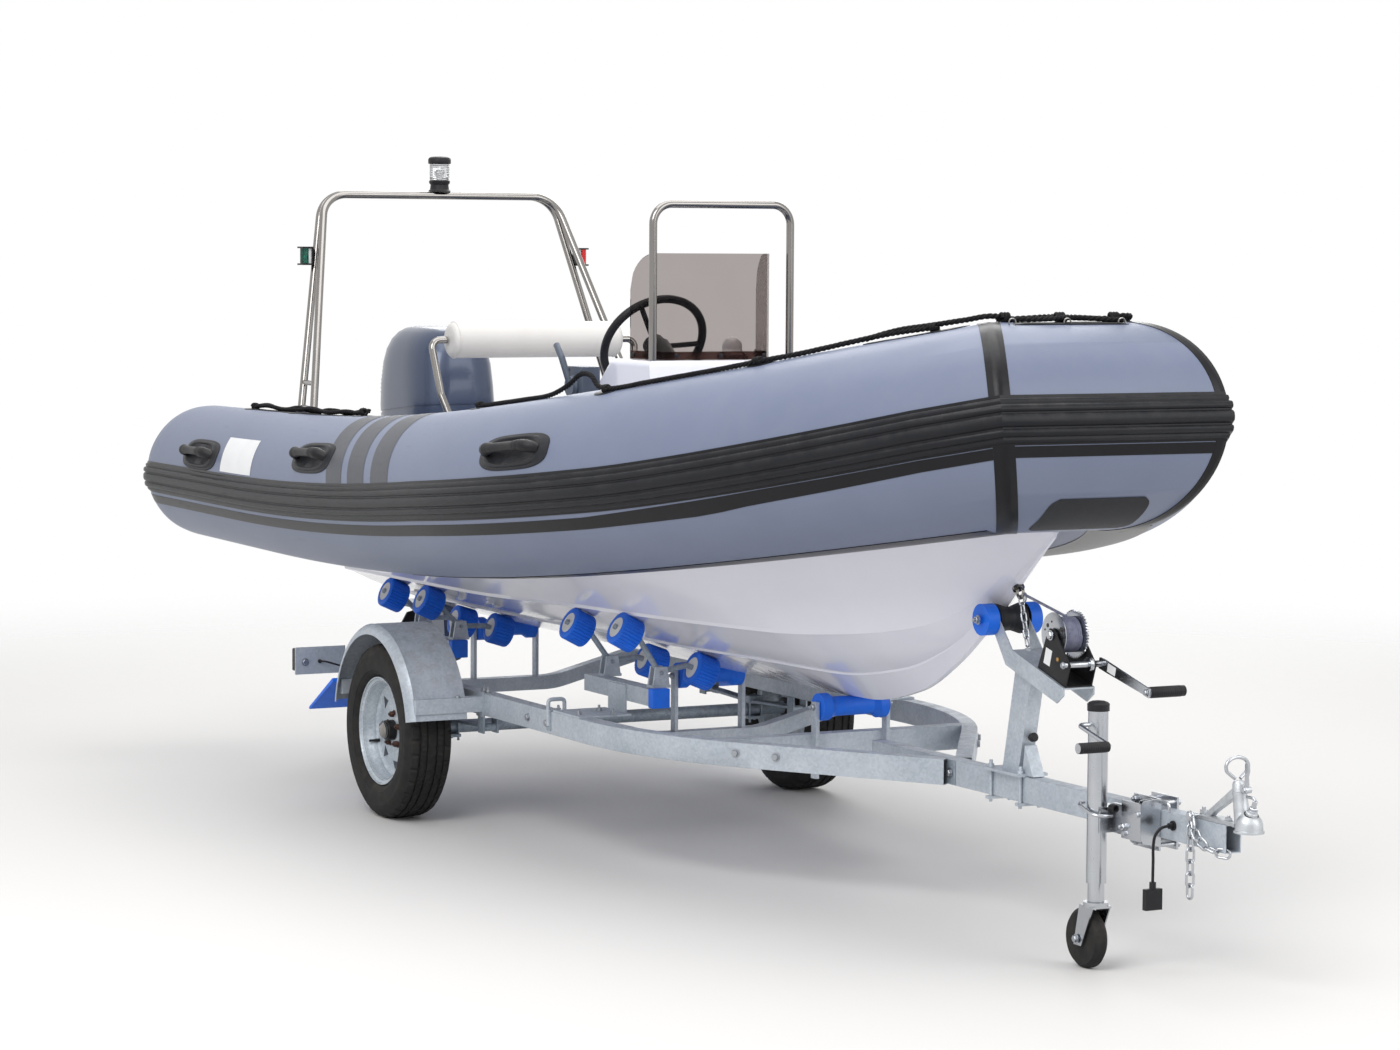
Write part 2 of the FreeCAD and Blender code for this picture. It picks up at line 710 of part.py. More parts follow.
def seatTop():
    return size("sole_height") + size("seat_height")


def seatBase():
    base = block(-470, 30, -300, 300, size("sole_height"), seatTop())
    uprights = [edge for edge in base.Edges if edge.BoundBox.ZLength > 200]
    return settle("seat_base", base.makeFillet(25, uprights))


def seatCushion():
    low = seatTop() + size("running_gap")
    pad_piece = block(-470, 30, -300, 300, low, low + size("seat_pad"))
    return settle("seat_cushion", pad_piece.makeFillet(22, pad_piece.Edges))


def bolster():
    half, radius = size("bolster_half"), size("bolster_radius")
    body = turnedBody("backrest_bolster", [
        ("0 - bolster_half", "0"), ("0 - bolster_half", "bolster_radius - 18"),
                                           ("18 - bolster_half", "bolster_radius"),
                                           ("bolster_half - 18", "bolster_radius"),
                                           ("bolster_half", "bolster_radius - 18"), ("bolster_half", "0")],
                      size("bolster_station"), 0, size("bolster_height"))
    return body


def backrestFrame():
    """Bent stainless legs from the seat's sides to the bolster's ends."""
    high, station, half = size("bolster_height"), size("bolster_station"), size("bolster_half")
    radius = 12.5
    seat_side = -300 - radius - size("running_gap")
    leg = bentRod([(station, -half - size("running_gap"), high), (station, -half - 62, high),
                   (station + 40, -half - 40, high - 190), (-440, seat_side, seatTop() - 30),
                    (-380, seat_side, size("sole_height") + 20)],
                  [30, 60, 60], radius)
    return settle("backrest_frame", Part.makeCompound(bothSides(leg)))


# Arch hoops: station of the top bar, rake (forward per unit of drop), splay (outward per unit of drop)
ARCH_HOOPS = ((-1420.0, 0.459, 0.237), (-1447.6, 0.278, 0.213))


ARCH_TOP = 2110.0
ARCH_CORNER = 470.0
# low rungs above the hoops' feet, and what the feet stand above the tube's middle line
ARCH_RUNGS = (44.0, 134.0)
FOOT_RISE = 216.0


def archFoot():
    return size("tube_height") + FOOT_RISE


def archHoop(station, rake, splay):
    top, corner, foot = ARCH_TOP, ARCH_CORNER, archFoot()
    drop = top - foot
    spots = [(station + rake * drop, -corner - splay * drop, foot), (station, -corner, top),
             (station, corner, top),
             (station + rake * drop, corner + splay * drop, foot)]
    return bentRod(spots, 110, size("hoop_radius"))


def archFrame():
    shapes = [archHoop(*hoop) for hoop in ARCH_HOOPS]
    for rise in ARCH_RUNGS:
        drop = ARCH_TOP - archFoot() - rise
        (front, front_rake, front_splay), (rear, rear_rake, rear_splay) = ARCH_HOOPS
        start = (front + front_rake * drop, -ARCH_CORNER - front_splay * drop, ARCH_TOP - drop)
        end = (rear + rear_rake * drop, -ARCH_CORNER - rear_splay * drop, ARCH_TOP - drop)
        shapes += bothSides(rod(start, end, 9))
    grown, drop = tubeSolid(size("skin_gap")), ARCH_TOP - archFoot()
    for station, rake, splay in ARCH_HOOPS:
        x, y = station + rake * drop, -ARCH_CORNER - splay * drop
        foot = block(x - 48, x + 48, y - 40, y + 40, archFoot() - 106, archFoot() + 40)
        foot = foot.common(tubeSolid(16.0))
        shapes += bothSides(foot)
    return settle("arch_frame", fused(shapes).cut(grown))


def navLights():
    height = ARCH_TOP - 262
    box = block(-1402, -1350, -585, -540, height, height + 68)
    return settle("nav_lights", Part.makeCompound(bothSides(box)))


def anchorLight():
    body = newBody("anchor_light", -1433, 0, ARCH_TOP + size("hoop_radius") + 0.5)
    sketch = drawOn(body, "XZ_Plane")
    outline(sketch, [("0", "0"), ("44", "0"), ("44", "38"), ("36", "40"), ("36", "96"), ("44", "98"),
                     ("44", "126"),
                     ("30", "134"), ("0", "134")])
    revolve(body, sketch, "V_Axis")
    return body


# The outboard motor

TILT_AXLE = (-1196.0, 1104.0)
STEER_STATION = -1288.0


def clampBracket():
    """Two hooked side plates over the transom with the tilt tube between them."""
    face, top = size("transom_station"), size("transom_top")
    inside = face + size("transom_thickness")
    side = plate([(face - 0.5, 800), (face - 0.5, top + 0.5), (inside + 0.5, top + 0.5),
                  (inside + 0.5, top - 120), (inside + 22, top - 120), (inside + 22, top + 30),
                  (face - 30, top + 44), (face - 72, top + 44),
                  (face - 80, top - 10), (face - 44, 860), (face - 24, 800)], (-104, -86), "Y")
    tilt = rod((TILT_AXLE[0], -104, TILT_AXLE[1]), (TILT_AXLE[0], 104, TILT_AXLE[1]), 14)
    tie = rod((face - 16, -100, 840), (face - 16, 100, 840), 9)
    return settle("clamp_bracket", fused(bothSides(side) + [tilt, tie]))


def swivelBracket():
    """Swings on the tilt tube and holds the steering shaft upright behind it."""
    x, z = TILT_AXLE
    boss = rod((x, -80, z), (x, 80, z), 27)
    arm = block(x - 60, x, -80, 80, z - 24, z + 16)
    trunk = rod((STEER_STATION, 0, 780), (STEER_STATION, 0, 1118), 34)
    web = block(STEER_STATION, x - 20, -30, 30, 820, z - 10).cut(
        plate([(x - 60, 810), (x + 5, 810), (x + 5, 1060)], (-40, 40), "Y"))
    bore = rod((x, -90, z), (x, 90, z), 14 + size("running_gap"))
    shaft = rod((STEER_STATION, 0, 700), (STEER_STATION, 0, 1130), 15 + size("running_gap"))
    return settle("swivel_bracket", fused([boss, arm, trunk, web]).cut(bore).cut(shaft))


# Outboard leg outlines in side view, station and height, with half widths
def outboardLeg():
    shaft = rod((STEER_STATION, 0, 742), (STEER_STATION, 0, 1158), 15)
    upper = block(-1480, STEER_STATION, -46, 46, 1122, 1158)
    lower = block(-1420, STEER_STATION + 22, -30, 30, 736, 774)
    trunk = plate([(-1350, 1150), (-1350, 780), (-1340, 560), (-1560, 560), (-1500, 800), (-1520, 1150)],
                  (-48, 48), "Y")
    vent = plate([(-1320, -40), (-1400, -85), (-1640, -105), (-1700, -60), (-1700, 60), (-1640, 105),
                  (-1400, 85),
                  (-1320, 40)], (548, 560), "Z")
    strut = plate([(-1345, 550), (-1320, 380), (-1580, 380), (-1560, 550)], (-22, 22), "Y")
    nose = Part.makeCone(20, 52, 120, Vector(-1260, 0, 385), Vector(-1, 0, 0))
    torpedo = rod((-1380, 0, 385), (-1610, 0, 385), 52)
    skeg = plate([(-1400, 350), (-1580, 350), (-1545, 212), (-1455, 212)], (-5, 5), "Y")
    return settle("outboard_leg", fused([shaft, upper, lower, trunk, vent, strut, nose, torpedo, skeg]))


# Cowl sections: height, front station, rear station, half width
COWL_SECTIONS = ((1158.5, -1215.0, -1650.0, 130.0), (1215.0, -1200.0, -1700.0, 160.0),
                 (1330.0, -1195.0, -1722.0, 170.0), (1480.0, -1205.0, -1715.0, 165.0),
                 (1570.0, -1235.0, -1690.0, 140.0), (1618.0, -1290.0, -1630.0, 90.0))


COWL_WALL = 6.0


def cowlSection(height, front, rear, half):
    nose, tail = 0.55 * half, 0.4 * half
    corners = [(front, -nose), (front - 0.22 * (front - rear), -half), (rear + 0.16 * (front - rear), -half),
               (rear, -tail), (rear, tail), (rear + 0.16 * (front - rear), half),
               (front - 0.22 * (front - rear), half), (front, nose)]
    spots = [Vector(x, y, height) for x, y in corners]
    return Part.makePolygon(spots + spots[:1])


def cowl():
    """Hollow cowl with its bottom pan."""
    outer = Part.makeLoft([cowlSection(*row) for row in COWL_SECTIONS], True, True)
    last = len(COWL_SECTIONS) - 1
    inner = []
    for index, (height, front, rear, half) in enumerate(COWL_SECTIONS):
        lift = COWL_WALL if index == 0 else -COWL_WALL if index == last else 0.0
        inner.append(cowlSection(height + lift, front - COWL_WALL, rear + COWL_WALL, half - COWL_WALL))
    return settle("outboard_cowl", outer.cut(Part.makeLoft(inner, True, True)))


def powerhead():
    """Engine under the cowl, as one block on the pan."""
    floor = COWL_SECTIONS[0][0] + COWL_WALL + 0.05
    return settle("powerhead", block(-1590, -1300, -105, 105, floor, 1540))


def propeller():
    body = newBody("propeller", -1610.3, 0, 385, Rotation(Vector(0, 1, 0), -90))
    sketch = drawOn(body, "XZ_Plane")
    outline(sketch, [("0", "0"), ("44", "0"), ("46", "30"), ("40", "100"), ("30", "106"), ("0", "106")])
    revolve(body, sketch, "V_Axis")
    blade = drawOn(body, "XY_Plane", "42")
    outline(blade, [("34", "0 - 20"), ("90", "0 - 62"), ("128", "0 - 40"), ("138", "5"), ("118", "44"),
                    ("34", "24")])
    grown = pad(body, blade, "9", True)
    roundPattern(body, grown, blade, 3)
    return body


# The trailer

def drawbar():
    body = newBody("drawbar")
    sketch = drawOn(body, "YZ_Plane", "drawbar_tail")
    half, low, top = "rail_width / 2", "frame_top - rail_height", "frame_top"
    outline(sketch, [("0 - " + half, low), (half, low), (half, top), ("0 - " + half, top)])
    inner = "(rail_width / 2 - rail_wall)"
    outline(sketch, [("0 - " + inner, low + " + rail_wall"), (inner, low + " + rail_wall"),
                     (inner, top + " - rail_wall"), ("0 - " + inner, top + " - rail_wall")])
    pad(body, sketch, "drawbar_nose - drawbar_tail")
    return body


def boxSection(spots, bend, width, height, wall=None):
    """A level box section along a bent line, hollow when a wall is given."""
    path = bentLine(spots, bend)
    first = path.Edges[0]
    start = first.valueAt(first.FirstParameter)
    heading = first.tangentAt(first.FirstParameter)
    across = heading.cross(Vector(0, 0, 1)).normalize()
    upward = across.cross(heading).normalize()

    def swept(wide, tall):
        ring = [start + across * (a * wide / 2) + upward * (b * tall / 2)
                for a, b in ((-1, -1), (1, -1), (1, 1), (-1, 1))]
        return path.makePipeShell([Part.makePolygon(ring + ring[:1])], True, False)
    solid = swept(width, height)
    return solid.cut(swept(width - 2 * wall, height - 2 * wall)) if wall else solid


RAIL_LEAN = 0.65
RAIL_BEND = 1300.0


def sideRails():
    spread, middle = size("rail_half_spread"), size("frame_top") - size("rail_height") / 2
    joint = size("joint_station")
    corner = joint - spread / RAIL_LEAN
    end = (joint - 42, -42 * RAIL_LEAN, middle)
    rail = boxSection([(size("rail_tail"), -spread, middle), (corner, -spread, middle), end], RAIL_BEND,
                      size("rail_width"), size("rail_height"), size("rail_wall"))
    keep = block(-2000, 3000, -900, -size("rail_width") / 2, 300, 500)
    return settle("side_rails", Part.makeCompound(bothSides(rail.common(keep))))


def railInner(station):
    """Half distance between the side rails' inner faces at a station."""
    spread, half = size("rail_half_spread"), size("rail_width") / 2
    lean = math.atan(RAIL_LEAN)
    corner = size("joint_station") - spread / RAIL_LEAN
    reach = RAIL_BEND * math.tan(lean / 2)
    start, end = corner - reach, corner + reach * math.cos(lean)
    if station < start:
        return spread - half
    if station < end:
        return spread - RAIL_BEND + math.sqrt((RAIL_BEND - half) ** 2 - (station - start) ** 2)
    return (size("joint_station") - station) * RAIL_LEAN - half / math.cos(lean)


# Two dished cross beams that clear the keel, and a straight one in front
CROSS_STATIONS = (-830.0, 785.0)
CROSS_SIZE = 50.0
CROSS_DISH = 96.0
CROSS_FLAT = 190.0
FRONT_CROSS = 1690.0


def crossTop():
    """Top of a dished beam at its middle."""
    return size("frame_top") - 5 - CROSS_DISH


def crossBeams():
    shapes = []
    top, half_size = size("frame_top"), CROSS_SIZE / 2
    low = crossTop() - half_size
    for station in CROSS_STATIONS:
        half = railInner(station)
        rise = CROSS_DISH / (half - CROSS_FLAT)
        over = 30
        high = low + CROSS_DISH + rise * over
        beam = boxSection([(station, -half - over, high), (station, -CROSS_FLAT, low),
                           (station, CROSS_FLAT, low),
                           (station, half + over, high)], 300, CROSS_SIZE, CROSS_SIZE, 3)
        shapes.append(beam.common(block(station - 60, station + 60, 0.05 - half, half - 0.05, 200, 600)))
    back, front = FRONT_CROSS - half_size, FRONT_CROSS + half_size
    wide, narrow = railInner(back) - 0.05, railInner(front) - 0.05
    shapes.append(plate([(back, -wide), (front, -narrow), (front, narrow), (back, wide)],
                        (top - size("rail_height"), top), "Z"))
    joined = [fused([beam, posts]) for beam, posts in zip(shapes, keelPosts())]
    return settle("cross_beams", Part.makeCompound(joined))


def axle():
    """Round beam axle with the stubs that the hubs turn on."""
    plane, hub = size("wheel_plane"), size("hub_height")
    reach = plane - size("hub_length") / 2 - 8
    beam = rod((0, -reach, hub), (0, reach, hub), size("axle_radius"))
    stubs = rod((0, -plane - 33, hub), (0, plane + 33, hub), size("spindle_radius"))
    return settle("axle", beam.fuse(stubs))


def leafSprings():
    """Slipper leaf springs over the axle, hung from brackets under the rails."""
    hub, spread = size("hub_height"), size("rail_half_spread")
    beam_top = hub + size("axle_radius")
    low_rail = size("frame_top") - size("rail_height")
    shapes = []
    eye = low_rail - 42
    arch = bentLine([(-330, -spread, eye), (0, -spread, beam_top + 3), (330, -spread, eye)], 900)
    first = arch.Edges[0]
    start = first.valueAt(first.FirstParameter)
    ring = [start + Vector(0, a, b) for a, b in ((-22, 0), (22, 0), (22, 8), (-22, 8))]
    shapes.append(arch.makePipeShell([Part.makePolygon(ring + ring[:1])], True, False))
    for station in (-330, 330):
        shapes.append(rod((station, -spread - 27, eye), (station, -spread + 27, eye), 13))
        for side in (-1, 1):
            shapes.append(block(station - 22, station + 22, -spread + side * 25 - 3, -spread + side * 25 + 3,
                                eye - 18, low_rail - 0.05))
    shapes.append(block(-34, 34, -spread - 26, -spread + 26, beam_top + 0.05, beam_top + 26))
    shapes.append(block(-38, 38, -spread - 30, -spread + 30, hub - size("axle_radius") - 10,
                        hub - size("axle_radius") - 0.05))
    for along in (-28, 28):
        for side in (-1, 1):
            across = side * 24 - spread
            shapes.append(rod((along, across, hub - 44), (along, across, beam_top + 28), 4))
    return settle("leaf_springs", Part.makeCompound(bothSides(fused(shapes))))


def mudguards():
    """Rolled guard over each wheel, with its side skirts and the bracket to the rail."""
    hub, plane = size("hub_height") + size("guard_lift"), size("wheel_plane")
    inner, skin, width = size("guard_radius"), size("guard_sheet"), size("guard_width")
    low, high = -plane - width / 2, -plane + width / 2
    shell = rod((0, low, hub), (0, high, hub), inner + skin)
    shell = shell.cut(rod((0, low - 5, hub), (0, high + 5, hub), inner))
    lip = rod((0, low, hub), (0, low + skin, hub), inner + skin).cut(
        rod((0, low - 5, hub), (0, high, hub), inner - 32))
    keep = block(-500, 500, low - 10, high + 10, hub + 55, hub + 600)
    guard = shell.fuse(lip).common(keep)
    spread = size("rail_half_spread") + size("rail_width") / 2
    for station in (-345, 300):
        guard = guard.fuse(block(station, station + 45, low + 20, -spread - 0.05, size("frame_top") - 62,
                                 size("frame_top") - 12))
    return settle("mudguards", Part.makeCompound(bothSides(guard)))


def mudFlaps():
    flap = plate([(-352, 436), (-345.05, 436), (-345.05, 424), (-566, 304), (-572, 311)], (-868, -672), "Y")
    return settle("mud_flaps", Part.makeCompound(bothSides(flap)))


def lightBoards():
    """Plate behind each guard that carries a lamp, on an arm from the rail's end."""
    spread = size("rail_half_spread")
    board = block(-764, -760, -845, -655, 403, 500)
    arm = block(-800, -762, -832, -spread - size("rail_width") / 2 - 0.05, 403, 411)
    return settle("light_boards", Part.makeCompound(bothSides(board.fuse(arm))))


def tailLamps():
    lamp = block(-822, -764.05, -834, -672, 412, 492)
    return settle("tail_lamps", Part.makeCompound(bothSides(lamp)))


# Side roller sets: stations of the two bent rods on each carrying beam
ROLLER_SETS = ((-720.0, -400.0), (810.0, 1160.0))
# each roller's distance from the middle and the hull facet that rests on it, as columns of the hull table
ROLLER_SEATS = ((-462.0, (2, 3), (4, 5)), (-200.0, (None, 1), (2, 3)))
PIVOT_SPOT = (-372.0, 592.0)
PIVOT_RADIUS = 6.0
BEAM_SIDE = -400.0


def hullSpot(station, columns):
    """Half width and height of one hull line at a station."""
    across, up = columns
    for before, after in zip(HULL_SECTIONS, HULL_SECTIONS[1:]):
        if station <= after[0]:
            share = (station - before[0]) / (after[0] - before[0])
            wide = before[across] + share * (after[across] - before[across]) if across else 0.0
            return -wide, before[up] + share * (after[up] - before[up])
    raise ValueError("station ahead of the hull")


def rollerSpots(station):
    """Centre and outward axis of each starboard roller, seated under the hull's facets."""
    spots = []
    for side, inner, outer in ROLLER_SEATS:
        (inner_y, inner_z), (outer_y, outer_z) = hullSpot(station, inner), hullSpot(station, outer)
        along = Vector(0, outer_y - inner_y, outer_z - inner_z).normalize()
        touch = Vector(station, side, inner_z + (side - inner_y) / (outer_y - inner_y) * (outer_z - inner_z))
        down = Vector(0, along.z, -along.y) * (-1 if along.y > 0 else 1)
        if down.z > 0:
            down = down * -1
        spots.append((touch + down * (size("roller_radius") + 2 * size("running_gap")), along))
    return spots


def rollerBeams():
    """Short box beam along each rail, on a bolted plate, with a cast pivot bracket under each rod."""
    shapes = []
    top, spread = size("frame_top"), size("rail_half_spread")
    for first, last in ROLLER_SETS:
        low, high = 492, 545
        beam = block(first - 75, last + 75, BEAM_SIDE - 27, BEAM_SIDE + 27, low, high)
        middle = (first + last) / 2
        beam = beam.fuse(block(middle - 62, middle + 62, BEAM_SIDE - 33, BEAM_SIDE - 27, top + 0.3, high - 4))
        beam = beam.fuse(block(middle - 95, middle + 95, -spread - 25, BEAM_SIDE - 27, top + 0.05, top + 6))
        for station in (first, last):
            y, z = PIVOT_SPOT
            for side in (-1, 1):
                ear = plate([(y - 30, high), (y + 30, high), (y + 20, z + 18), (y - 20, z + 18)],
                            (station + side * 17 - 4, station + side * 17 + 4), "X")
                beam = beam.fuse(ear.cut(rod((station - 40, y, z), (station + 40, y, z),
                                             PIVOT_RADIUS + size("running_gap"))))
            beam = beam.fuse(block(station - 22, station + 22, y - 32, y + 32, high - 1, high + 8))
        shapes += bothSides(beam)
    return settle("roller_beams", Part.makeCompound(shapes))


def rollerArms():
    """Bent rods that rock in the brackets and carry a roller at each end."""
    shapes = []
    half = size("roller_width") / 2 + 7
    y, z = PIVOT_SPOT
    for stations in ROLLER_SETS:
        for station in stations:
            (outer, outer_way), (inner, inner_way) = rollerSpots(station)
            spots = [outer + outer_way * half, outer - outer_way * (half + 12), Vector(station, y, z),
                     inner + inner_way * (half + 12), inner - inner_way * half]
            arm = bentRod([tuple(spot) for spot in spots], [18, 16, 18], size("arm_radius"))
            pivot = rod((station - 26, y, z), (station + 26, y, z), PIVOT_RADIUS)
            shapes += bothSides(fused([arm, pivot]))
    return settle("roller_arms", Part.makeCompound(shapes))


def sideRollers():
    shapes = []
    half, radius = size("roller_width") / 2, size("roller_radius")
    bore = size("arm_radius") + size("running_gap")
    for stations in ROLLER_SETS:
        for station in stations:
            for centre, slope in rollerSpots(station):
                start, end = centre - slope * half, centre + slope * half
                body = rod(tuple(start), tuple(end), radius).cut(rod(tuple(start), tuple(end), bore))
                shapes += bothSides(body)
    return settle("side_rollers", Part.makeCompound(shapes))


BOW_ROLLER = (2618.0, 881.0)
BOW_PIN = 9.0
FORK_SIDE = 47.0
FORK_SHEET = 4.0
# Keel rollers: station, height of the post's foot on or beside its beam
KEEL_ROLLERS = ((-830.0, 340.0), (785.0, 340.0), (1728.0, 315.0))


def keelRollerHeight(station):
    return keelHeight(station) - size("keel_roller_radius") - size("running_gap")


def keelRollers():
    """Waisted rubber rollers under the keel and the pair of discs that holds the stem."""
    half, waist = size("keel_roller_half"), size("keel_roller_radius")
    shapes = []
    for station, _foot in KEEL_ROLLERS:
        height = keelRollerHeight(station)
        corners = [(-half, 8.5), (half, 8.5), (half, waist + 12), (half - 30, waist + 12), (half - 48, waist),
                   (48 - half, waist), (30 - half, waist + 12), (-half, waist + 12)]
        spots = [Vector(station, along, height + out) for along, out in corners]
        face = Part.Face(Part.makePolygon(spots + spots[:1]))
        shapes.append(face.revolve(Vector(station, 0, height), Vector(0, 1, 0), 360))
    shapes.append(bowRoller())
    return settle("keel_rollers", Part.makeCompound(shapes))


def bowRoller():
    """Waisted roller between the fork's plates with a disc outside each plate, all on one pin."""
    x, z = BOW_ROLLER
    foot, out = stemSpot(x)
    waist = (Vector(x, 0, z) - foot).dot(out) - size("running_gap")
    inside, outside = FORK_SIDE - 1, FORK_SIDE + FORK_SHEET + 1
    corners = [(-inside, 0), (inside, 0), (inside, 42), (inside - 8, 44), (8, waist), (-8, waist),
               (8 - inside, 44),
               (-inside, 42)]
    face = Part.Face(Part.makePolygon([Vector(x, along, z + up) for along, up in corners + corners[:1]]))
    reach = outside + 46
    shapes = [face.revolve(Vector(x, 0, z), Vector(0, 1, 0), 360),
              rod((x, -reach, z), (x, reach, z), BOW_PIN)]
    shapes += [rod((x, side * outside, z), (x, side * (outside + 38), z), 45) for side in (-1, 1)]
    return fused(shapes)


def keelPosts():
    """Flat posts that carry the keel rollers' pins, each pair with its pin."""
    sets = []
    half = size("keel_roller_half")
    for station, foot in KEEL_ROLLERS:
        height = keelRollerHeight(station)
        shapes = [rod((station, -half - 24, height), (station, half + 24, height), 8)]
        for side in (-1, 1):
            y = side * (half + 9)
            shapes.append(block(station - 15, station + 15, y - 6, y + 6, foot, height + 16))
        sets.append(fused(shapes))
    return sets


# Winch table: its top runs down forward, station and height of its rear and front ends
TABLE_REAR = (2850.0, 766.0)
TABLE_FRONT = (3003.0, 720.0)
TABLE_DEPTH = 55.0


def tableTop(station):
    (rear, rear_top), (front, front_top) = TABLE_REAR, TABLE_FRONT
    return rear_top + (station - rear) / (front - rear) * (front_top - rear_top)


def winchPost():
    """Column on the drawbar, its channel with the bow roller's fork, and the U-bolts round the drawbar."""
    top, width = size("frame_top"), size("rail_width") / 2
    base = block(2570, 2762, -48, 48, top + 0.05, top + 8)
    column = plate([(2634, top + 6), (2718, top + 6), (2792, tableTop(2792) - 2),
                    (2708, tableTop(2708) - 10)],
                   (-22, 22), "Y")
    x, z = BOW_ROLLER
    nose, heel = 2956.0, 2690.0
    side_corners = [(x - 26, z + 12), (x - 8, z + 27), (x + 18, z + 22), (2722, tableTop(2722)),
                    (nose + 34, tableTop(nose + 34)), (nose + 34, tableTop(nose + 34) - 20),
                    (nose, tableTop(nose) - TABLE_DEPTH), (heel, tableTop(heel) - TABLE_DEPTH)]
    shapes = [base, column]
    for side in (-1, 1):
        inner, outer = side * FORK_SIDE, side * (FORK_SIDE + FORK_SHEET)
        shapes.append(plate(side_corners, (min(inner, outer), max(inner, outer)), "Y"))
    shapes.append(plate([(2722, tableTop(2722)), (nose + 34, tableTop(nose + 34)),
                         (nose + 34, tableTop(nose + 34) - FORK_SHEET), (2722, tableTop(2722) - FORK_SHEET)],
                        (-FORK_SIDE - 1, FORK_SIDE + 1), "Y"))
    for station in (2588, 2744):
        for side in (-1, 1):
            across = side * (width + 6)
            shapes.append(rod((station, across, top - 92), (station, across, top + 28), 5))
            shapes.append(rod((station, across, top + 8), (station, across, top + 17), 9))
        shapes.append(block(station - 9, station + 9, -width - 18, width + 18, top - 84, top - 75.05))
    lowest = boatChain()[2]
    stop = lowest.z - 6 * size("running_gap")
    shapes.append(rod((lowest.x, 0, tableTop(lowest.x) - 3), (lowest.x, 0, stop), 9))
    pin = rod((x, -200, z), (x, 200, z), BOW_PIN + size("running_gap"))
    return settle("winch_post", fused(shapes).cut(pin))


DRUM_SPOT = (2915.0, 864.0)
DRUM_PIN = 8.0
ROPE_RADIUS = 4.0
WOUND_RADIUS = 50.0
CRANK_SPOT = (2992.0, 788.0)
WINCH_SIDE = 42.0


def onTable(station):
    return tableTop(station) + size("running_gap")


def winchFrame():
    """Side plates of the hand winch, its drive shaft and the crank with its grip."""
    drum_x, drum_z = DRUM_SPOT
    rear, front = TABLE_REAR[0] - 4, TABLE_FRONT[0] - 16
    corners = [(rear, onTable(rear)), (front, onTable(front)), (front + 22, 788), (front + 10, 802),
               (drum_x + 12, drum_z + 16), (drum_x - 10, drum_z + 18), (drum_x - 24, drum_z)]
    sides = [plate(corners, (side * WINCH_SIDE - 2, side * WINCH_SIDE + 2), "Y") for side in (-1, 1)]
    foot = plate([(rear, onTable(rear)), (front, onTable(front)), (front, onTable(front) + 4),
                  (rear, onTable(rear) + 4)], (-WINCH_SIDE, WINCH_SIDE), "Y")
    x, z = CRANK_SPOT
    shaft = rod((x, -WINCH_SIDE - 12, z), (x, 76, z), 9)
    pinion = rod((x, 24, z), (x, 36, z), 20)
    arm = plate([(x - 14, z - 14), (x + 10, z - 20), (3222, 719), (3226, 742), (x + 14, z + 12),
                 (x - 10, z + 16)],
                (70, 76), "Y")
    grip = rod((3213, 76, 731), (3213, 192, 731), 15)
    bore = rod((drum_x, -60, drum_z), (drum_x, 60, drum_z), DRUM_PIN + size("running_gap"))
    frame = fused(sides + [foot]).cut(bore).fuse([shaft, pinion, arm, grip])
    return settle("winch_frame", frame.removeSplitter())


def winchDrum():
    """Drum with its wound rope's body, a plain flange and a toothed flange, and its pin."""
    x, z = DRUM_SPOT
    core = rod((x, -33, z), (x, 33, z), WOUND_RADIUS - ROPE_RADIUS)
    flange = rod((x, -36, z), (x, -33, z), 63)
    gear = rod((x, 29, z), (x, 35, z), 68)
    pin = rod((x, -WINCH_SIDE - 9, z), (x, WINCH_SIDE + 9, z), DRUM_PIN)
    return settle("winch_drum", fused([core, flange, gear, pin]))


def winchRope():
    """Rope from the top of the drum's coil to the bow eye."""
    centre, eye = Vector(DRUM_SPOT[0], 0, DRUM_SPOT[1]), eyeSpot()
    reach = (centre - eye).Length
    coil = WOUND_RADIUS - ROPE_RADIUS + ROPE_RADIUS + size("running_gap")
    toward = (eye - centre).normalize()
    across = Vector(0, 1, 0).cross(toward)
    if across.z < 0:
        across = across * -1
    lean = math.acos(coil / reach)
    start = centre + (toward * math.cos(lean) + across * math.sin(lean)) * coil
    back = (start - eye).normalize()
    end = eye + back * (EYE_RADIUS + EYE_WIRE + 0.4)
    return settle("winch_rope", rod(tuple(start), tuple(end), ROPE_RADIUS))


# Chain links: full length, full width, bar
BOAT_LINK = (34.0, 21.0, 5.0)
TRAILER_LINK = (46.0, 30.0, 7.0)


def chainLink(centre, heading, across, link_size):
    """One flat link with cut corners, lying along the heading and wide along across."""
    length, width, bar = link_size
    half, wide = length / 2, width / 2
    corner = bar

    def ring(long, broad, cut):
        return [(-long, broad - cut), (-long + cut, broad), (long - cut, broad), (long, broad - cut),
                (long, cut - broad), (long - cut, -broad), (cut - long, -broad), (-long, cut - broad)]
    outer = plate(ring(half, wide, corner), (-bar / 2, bar / 2), "Z")
    hole = plate(ring(half - bar, wide - bar, 0.3 * bar), (-bar, bar), "Z")
    link = outer.cut(hole)
    link.Placement = Placement(Vector(*centre), Rotation(heading, across, heading.cross(across), "XYZ"))
    return link


def linkPitch(link_size):
    return link_size[0] - 2 * link_size[2] - size("running_gap")


def hangingLinks(first, heading, count, link_size, across):
    """Links hooked in each other from the first one's centre, every other one turned a quarter."""
    links = []
    other = heading.cross(across).normalize()
    for index in range(count):
        spot = first + heading * (linkPitch(link_size) * index)
        links.append(chainLink(spot, heading, across if index % 2 == 0 else other, link_size))
    return links


# The boat's own chain: number of links, and where the last one meets the winch table
BOAT_LINKS = 6
BOAT_CHAIN_FOOT = 2728.0


